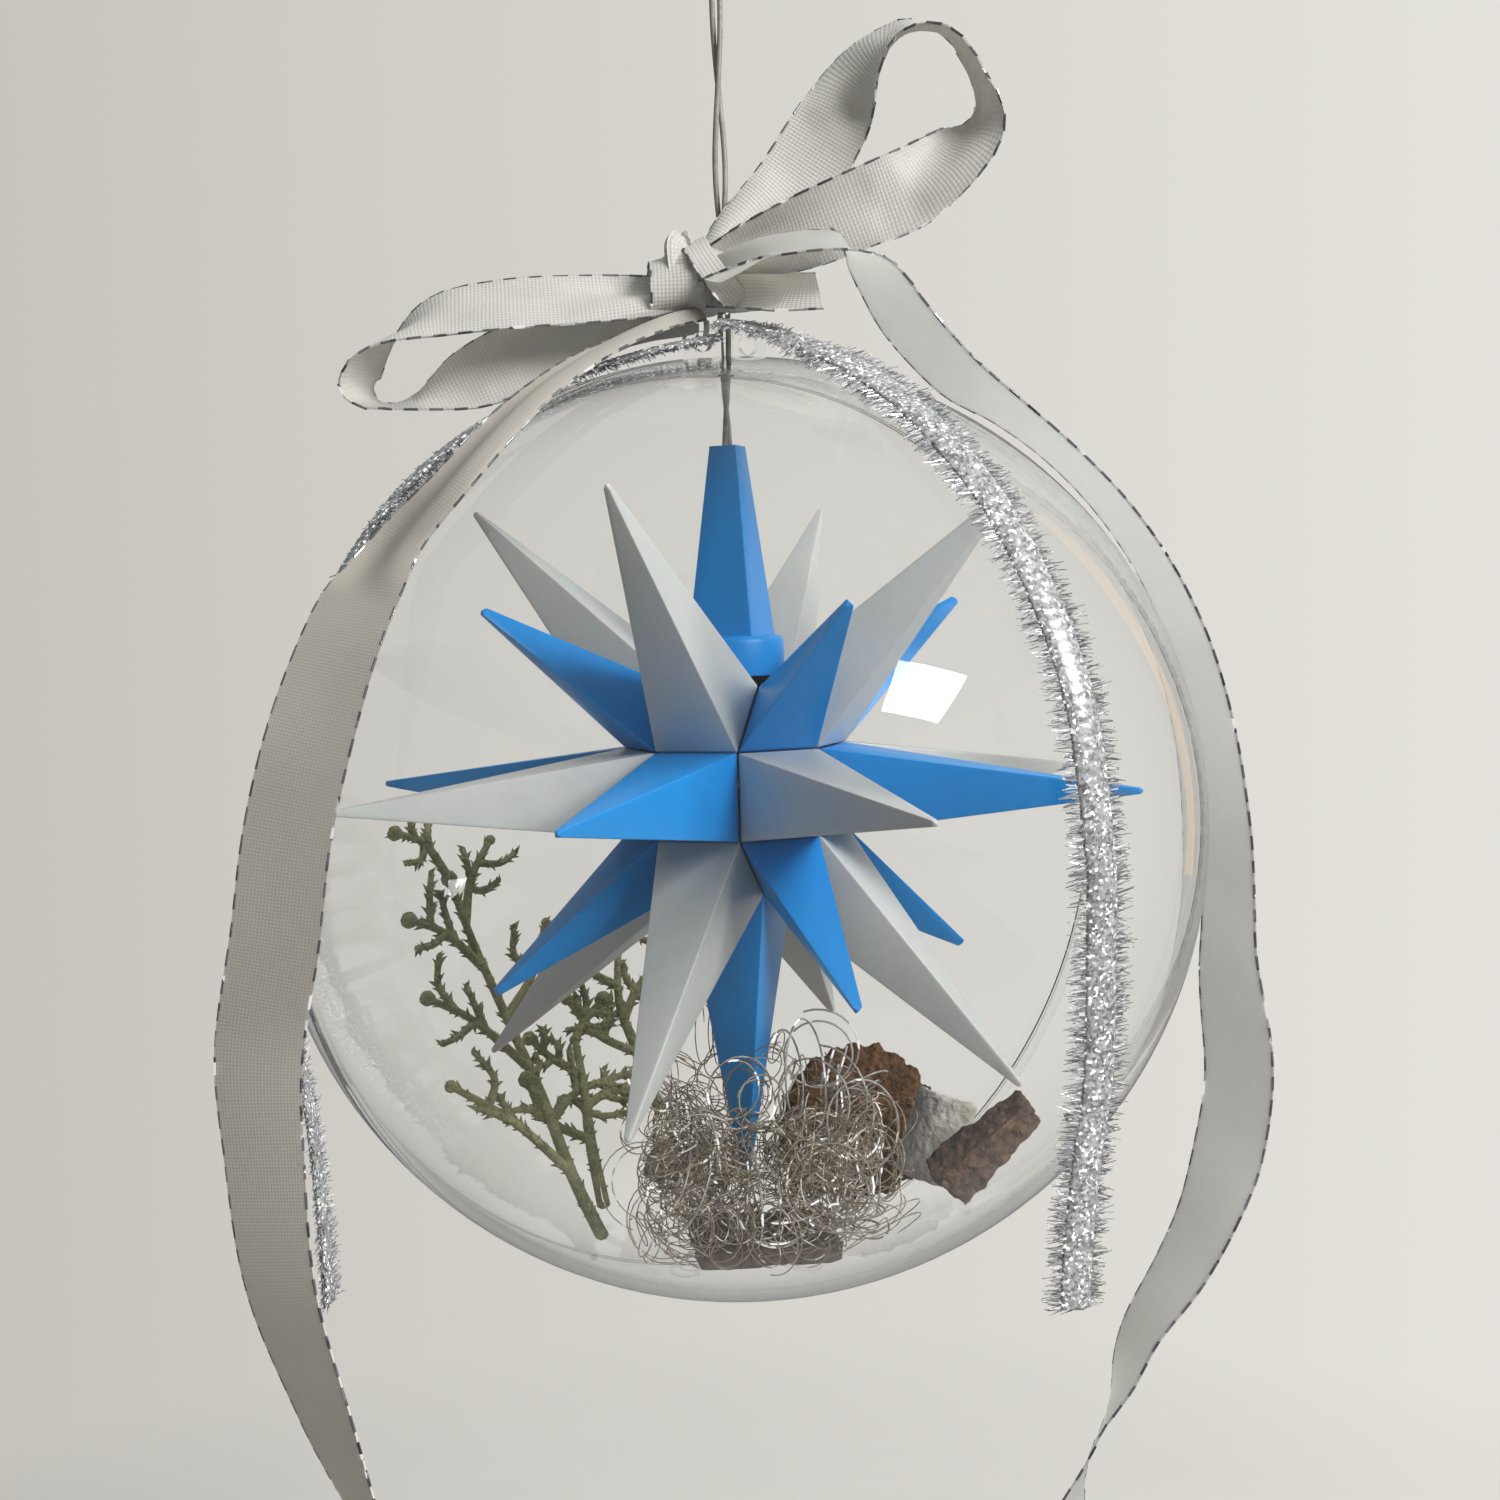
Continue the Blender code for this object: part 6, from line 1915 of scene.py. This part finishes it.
@dataclass
class Trimmings:
    """Dried sprigs, lichen, bark and wood, and a tangle of curled wire."""

    sprig_depth: float = 4.0 * MM
    sprig_clear: float = 2.4 * MM
    stem_radius: float = 1.2 * MM
    twig_radius: float = 0.9 * MM
    leaf_step: float = 0.45 * MM
    leaf_length: float = 1.9 * MM
    leaf_width: float = 0.55 * MM
    bud_radius: float = 1.35 * MM
    knob_share: float = 0.66
    curl_tries: int = 40
    curl_rim: int = 16
    curl_levels: tuple[float, ...] = (0.0, 0.3, 0.6)
    fractal: tuple[float, float, int] = (0.9, 2.0, 4)
    fractal_level: float = 0.45
    fractal_most: float = 0.6
    wall_clear: float = 1.0 * MM
    star_clear: float = 0.9 * MM
    green: DryMatter = DryMatter("dry_sprig", (0.58, 0.56, 0.31), (0.24, 0.23, 0.105), 420.0, 0.6)

    LEFT_STEM = ((190, -70), (160, -62), (143, -48), (140, -34), (141, -22), (143, -11))
    REAR_STEM = ((112, -54), (114, -44), (115, -35), (113, -26))
    LOW_STEM = ((158, -68), (140, -58), (131, -49), (127, -40))
    BARK = DryMatter("bark_red_brown", (0.20, 0.085, 0.022), (0.015, 0.008, 0.0045), 230.0, 1.0)
    WOOD = DryMatter("wood_dark", (0.19, 0.11, 0.066), (0.028, 0.019, 0.014), 150.0, 1.0)
    BIRCH = DryMatter("birch_grey", (0.85, 0.80, 0.72), (0.34, 0.29, 0.24), 170.0, 0.7)
    LICHEN = DryMatter("lichen_dry", (0.36, 0.36, 0.31), (0.16, 0.16, 0.135), 260.0, 1.0)
    # One curl wire in three tones: the inner heaps get a copy with painted shade, the front heap a copy with
    # painted light, and the loose loops a lighter copy with more painted glints.
    PAINTED_SHADE_WIRE = BrightMetal("curl_wire_painted_shade", (0.48, 0.38, 0.25), (0.08, 0.058, 0.035), 600.0, 0.4, 0.15)
    PAINTED_LIGHT_WIRE = BrightMetal("curl_wire_painted_light", (0.66, 0.55, 0.40), (0.12, 0.09, 0.058), 650.0, 0.5, 0.3)
    LOOPS = BrightMetal("curl_wire_loops", (0.80, 0.76, 0.70), (0.16, 0.13, 0.10), 420.0, 0.6, 0.8)
    HEAPS = (
        Heap("lower", True, 10.5, 5.4, (-67, -50), (0, 360), 110, 21, 0.1 * MM, PAINTED_SHADE_WIRE),
        Heap("upper", True, 12.0, 5.2, (-54, -36), (0, 360), 60, 22, 0.1 * MM, PAINTED_SHADE_WIRE),
        Heap("front", True, 21.0, 5.4, (-66, -44), (225, 345), 110, 23, 0.1 * MM, PAINTED_LIGHT_WIRE),
        Heap("loose", False, 21.0, 6.6, (-60, -34), (215, 350), 30, 24, 0.17 * MM, LOOPS),
    )
    SCRAPS = (
        Scrap("bark_base", "bark_floor", WOOD, Slot.BARK_BROWN, 6, 2, 0.5 * MM, 1.7 * MM),
        Scrap("bark_disc", "bark_rosette", BARK, Slot.BARK_BROWN, 4, 1, 0.6 * MM, 1.2 * MM),
        Scrap("driftwood_chunk", "wood_chunk", WOOD, Slot.BARK_BROWN, 11, 14, 0.7 * MM, 2.4 * MM),
        Scrap("birch_chip", "birch_curl", BIRCH, Slot.BIRCH_PALE, 6, 3, 0.3 * MM, 2.0 * MM),
        Scrap("lichen_tuft", "lichen_cushion", LICHEN, Slot.LICHEN_GREY, 5, 0, 0.7 * MM, 1.5 * MM),
    )

    def build(self) -> None:
        """Builds and dresses the trimmings."""
        blocked = StarSweep()
        finishes = (self.BARK, self.WOOD, self.BIRCH, self.LICHEN, self.PAINTED_SHADE_WIRE, self.PAINTED_LIGHT_WIRE, self.LOOPS)
        surfaces = {finish: finish.material() for finish in finishes}
        for scrap in self.SCRAPS:
            self.scrap(scrap, surfaces[scrap.finish])
        green = self.green.material()
        for name, node, stem, branch, seed in (
            ("sprig_left", "sprig_left", self.LEFT_STEM, 24 * MM, 7),
            ("sprig_rear", "sprig_rear", self.REAR_STEM, 17 * MM, 8),
            ("sprig_low", None, self.LOW_STEM, 15 * MM, 9),
        ):
            made = self.sprig(name, stem, branch, seed, green, blocked)
            dress(made, Body.BAUBLE, Slot.SPRIG_GREEN, node)
        for heap in self.HEAPS:
            self.heap(heap, surfaces[heap.finish], blocked)

    def scrap(self, scrap: Scrap, surface: Material) -> None:
        """One piece of bark, wood or lichen, worn round and roughened from its solid.

        Args:
            scrap: What it is made from, and how rough it is.
            surface: Its material.
        """
        bm = merged(scrap.node)
        bmesh.ops.triangulate(bm, faces=bm.faces)
        bmesh.ops.subdivide_edges(bm, edges=bm.edges, cuts=scrap.cuts, use_grid_fill=True)
        for turn in range(scrap.wear):
            bmesh.ops.smooth_vert(bm, verts=bm.verts, factor=0.5, **dict.fromkeys(AXES, True))
        bm.normal_update()
        moves = []
        for vertex in bm.verts:
            rough = noise.fractal(vertex.co / scrap.grain, *self.fractal) - self.fractal_level
            moves.append((vertex, vertex.normal * scrap.depth * min(rough, self.fractal_most)))
        for vertex, move in moves:
            vertex.co += move
        dress(from_bmesh(scrap.name, bm, surface, sharp=55), Body.BAUBLE, scrap.slot, scrap.node)

    def sprig(
        self, name: str, stem: Stations, branch: float, seed: int, green: Material, blocked: "StarSweep"
    ) -> Object:
        """A branching sprig that lies along the ball's inner face, with scale leaves and knobbed tips.

        Args:
            name: What it is called.
            stem: Azimuths and elevations of its stem, in degrees.
            branch: The length of its longest branch.
            seed: Which random twigs it has.
            green: Its material.
            blocked: What the star sweeps.

        Returns:
            The sprig.
        """
        draw = random.Random(seed)
        depths = [self.stem_radius if i == 0 else self.sprig_depth for i in range(len(stem))]
        points = spline([in_ball(*angles, depth) for angles, depth in zip(stem, depths)], 3)
        count = len(points)
        routes = [(points, [self.stem_radius * (1 - 0.45 * i / (count - 1)) for i in range(count)])]
        ways = tangents(points)
        for i in range(3, count, 2):
            side = ways[i].cross((points[i] - BALL_CENTRE).normalized()) * (1 if i % 4 == 3 else -1)
            length = branch * (1.25 - 0.6 * i / count) * draw.uniform(0.85, 1.15)
            heading = (ways[i] * draw.uniform(0.45, 0.95) + side * draw.uniform(0.6, 1.0)).normalized()
            routes += self.twig(points[i], heading, length, self.twig_radius, 3, draw)
        clear = self.sprig_clear
        routes = [route for route in routes if not blocked.meets([p - BALL_CENTRE for p in route[0]], clear)]
        values = {"Leaf Step": self.leaf_step, "Leaf Length": self.leaf_length, "Leaf Width": self.leaf_width}
        values |= {"Bud Radius": self.bud_radius, "Stoutness": self.knob_share * self.twig_radius}
        values |= {"Seed": seed, "Material": green}
        return grown(path_curves(f"{name}_source", routes), sprig_tree(), values, f"{name}_dried")

    def twig(
        self, root: Vector, way: Vector, length: float, thick: float, forks: int, draw: random.Random
    ) -> list[tuple[list[Vector], list[float]]]:
        """A bent twig with shorter ones forking off it, laid back onto the ball's inner face.

        Args:
            root: Where it starts.
            way: Its direction.
            length: Its length.
            thick: Its radius at the root.
            forks: How many twigs leave it.
            draw: The random numbers that shape it.

        Returns:
            Each twig's points, and the radius at each of them.
        """
        out = (root - BALL_CENTRE).normalized()
        side = way.cross(out).normalized()

        def lay(place: Vector) -> Vector:
            """The place, moved to about the sprig's depth."""
            reach = BALL_ROOM - self.sprig_depth * draw.uniform(0.75, 1.35)
            return BALL_CENTRE + (place - BALL_CENTRE).normalized() * reach

        bend = side * draw.uniform(-0.2, 0.2) * length
        points = spline([root, lay(root + way * 0.5 * length + bend), lay(root + way * length)], 5)
        last = len(points) - 1
        made = [(points, [thick * (1 - 0.3 * k / last) for k in range(last + 1)])]
        for fork in range(forks):
            start = points[round(last * (0.35 + 0.5 * fork / forks))]
            lean = side * (1 if fork % 2 else -1) * draw.uniform(0.6, 1.1)
            heading = (way * draw.uniform(0.5, 0.9) + lean).normalized()
            made += self.twig(start, heading, length * draw.uniform(0.34, 0.55), thick * 0.85, 0, draw)
        return made

    def heap(self, heap: Heap, wire: Material, blocked: "StarSweep") -> None:
        """One heap of curls, each clear of the ball's wall and of the turning star.

        Args:
            heap: Where its curls lie, and how many there are.
            wire: Its material.
            blocked: What the star sweeps.
        """
        draw = random.Random(heap.seed)
        room = BALL_INSIDE - self.wall_clear
        places, turns, sizes = [], [], []
        for attempt in range(heap.count * self.curl_tries):
            azimuth = radians(draw.uniform(*heap.arc))
            level = (heap.ring + draw.uniform(-0.8, 0.8) * heap.size) * MM
            height = draw.uniform(*heap.heights) * MM
            middle = Vector((level * cos(azimuth), level * sin(azimuth), height))
            turn = Euler([draw.uniform(0, tau) for axis in range(3)])
            scale = heap.size * MM * draw.uniform(0.5, 1.35)
            spin = turn.to_matrix()
            rim = [
                middle + spin @ Vector((cos(a), sin(a), lift)) * scale
                for a in (tau * k / self.curl_rim for k in range(self.curl_rim))
                for lift in self.curl_levels
            ]
            if any(point.length > room for point in rim) or blocked.meets(rim, self.star_clear):
                continue
            places.append(middle + BALL_CENTRE)
            turns.append(turn)
            sizes.append(scale)
            if len(places) == heap.count:
                break
        source = scattered("curl_source", places, {"turn": turns, "size": sizes})
        name = f"wire_curls_{heap.name}"
        made = grown(source, curl_tree(), {"Radius": heap.wire, "Material": wire}, f"{name}_tangle")
        made.data.shade_smooth()
        dress(made, Body.BAUBLE, Slot.CURL_WIRE, name if heap.in_cad else None)


class StarSweep:
    """The space that the star passes through as it turns about the cable, as a grid of radius and height."""

    CELL = 0.5 * MM

    def __init__(self) -> None:
        """Reads the star's points and fills the cells that their faces touch."""
        self.cells = set()
        for name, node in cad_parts.items():
            if "_point" in name:
                self.fill(node)

    def fill(self, node: Object) -> None:
        """Adds one point's faces.

        Args:
            node: The point's CAD node.
        """
        mesh = node.data
        mesh.calc_loop_triangles()
        for triangle in mesh.loop_triangles:
            a, b, c = (node.matrix_world @ mesh.vertices[i].co - BALL_CENTRE for i in triangle.vertices)
            count = max(2, int(max((b - a).length, (c - a).length, (c - b).length) / self.CELL))
            for i in range(count + 1):
                for j in range(count + 1 - i):
                    self.cells.add(self.cell(a + (b - a) * (i / count) + (c - a) * (j / count)))

    def cell(self, point: Vector) -> tuple[int, int]:
        """The cell that a point from the ball's centre turns through."""
        return round(hypot(point.x, point.y) / self.CELL), round(point.z / self.CELL)

    def meets(self, points: Iterable[Vector], clear: float) -> bool:
        """Whether any point comes near what the star sweeps.

        Args:
            points: The points, from the ball's centre.
            clear: How near is too near.

        Returns:
            Whether one does.
        """
        near = ceil(clear / self.CELL)
        for point in points:
            level, height = self.cell(point)
            for i in range(-near, near + 1):
                for j in range(-near, near + 1):
                    if (level + i, height + j) in self.cells:
                        return True
        return False


@functools.cache
def curl_tree() -> Tree:
    """Loose curls of wire, turned and sized as the points say.

    Returns:
        A Geometry Nodes tree.
    """
    sheet, given, result = new_grower("wire_curl_heap", ("Radius",))
    shape = {"Resolution": 26, "Rotations": 1.6, "Start Radius": 1.0, "End Radius": 0.72, "Height": 0.6}
    curl = sheet.first("GeometryNodeCurveSpiral", shape)
    spin = sheet.first("FunctionNodeEulerToRotation", {0: sheet.stored("turn")})
    curls = sheet.copies(given["Geometry"], curl, {"Rotation": spin, "Scale": sheet.stored("size", "FLOAT")})
    whole = sheet.first("GeometryNodeRealizeInstances", {0: sheet.shiny(curls, 31)})
    return finished(sheet, sheet.tube(whole, 5, given["Radius"]), given, result)


@functools.cache
def sprig_tree() -> Tree:
    """Stems with scale leaves along them and a knob at each tip.

    Returns:
        A Geometry Nodes tree.
    """
    sizes = ("Leaf Step", "Leaf Length", "Leaf Width", "Bud Radius", "Stoutness")
    sheet, given, result = new_grower("scale_leaf_sprig", sizes, ("Seed",))
    curves, seed = given["Geometry"], given["Seed"]
    thickness = sheet.first("GeometryNodeInputRadius")
    stems = sheet.tube(curves, 7, 1.0, Scale=thickness)
    way = sheet.first("GeometryNodeInputTangent")
    reach = {0: (-1.0, -1.0, -1.0), 1: (1.0, 1.0, 1.0), "Seed": seed}
    lean = sheet.first("FunctionNodeRandomValue", reach, data_type="FLOAT_VECTOR")
    off = sheet.vector("NORMALIZE", sheet.vector("CROSS_PRODUCT", lean, way))
    turn = sheet.aimed(sheet.vector("ADD", sheet.scaled(way, 0.9), off))
    shape = {"Radius Top": 0.0, "Radius Bottom": given["Leaf Width"], "Depth": given["Leaf Length"]}
    leaf = sheet.first("GeometryNodeMeshCone", {"Vertices": 5, **shape})
    uneven = sheet.drawn(0.6, 1.3, seed)
    leaves = sheet.copies(sheet.along(curves, given["Leaf Step"]), leaf, {"Rotation": turn, "Scale": uneven})
    knob = sheet.first("GeometryNodeMeshIcoSphere", {"Radius": given["Bud Radius"], "Subdivisions": 3})
    dimple = sheet.add("ShaderNodeTexNoise", {"Scale": 900.0}, noise_dimensions="3D").outputs["Fac"]
    rise = sheet.sum("MULTIPLY", sheet.sum("SUBTRACT", dimple, 0.5), 0.9 * MM)
    push = sheet.scaled(sheet.first("GeometryNodeInputNormal"), rise)
    knobbly = sheet.first("GeometryNodeSetPosition", {"Geometry": knob, "Offset": push})
    ends = sheet.first("GeometryNodeCurveEndpointSelection", {"Start Size": 0, "End Size": 1})
    stout = sheet.first("FunctionNodeCompare", {0: thickness, 1: given["Stoutness"]}, operation="GREATER_THAN")
    chosen = sheet.first("FunctionNodeBooleanMath", {0: ends, 1: stout}, operation="AND")
    knobs = sheet.copies(curves, knobbly, {"Selection": chosen, "Scale": uneven})
    smooth = sheet.first("GeometryNodeSetShadeSmooth", {0: sheet.joined(stems, leaves, knobs)})
    return finished(sheet, smooth, given, result)


def main() -> None:
    """Builds the studio and every sub-assembly."""
    logging.basicConfig(level=logging.INFO, format="%(message)s")
    for builder in (Studio, Cable, Star, Lamp, Ball, Ribbon, Tinsel, Trimmings):
        builder().build()


if __name__ == "__main__":
    main()
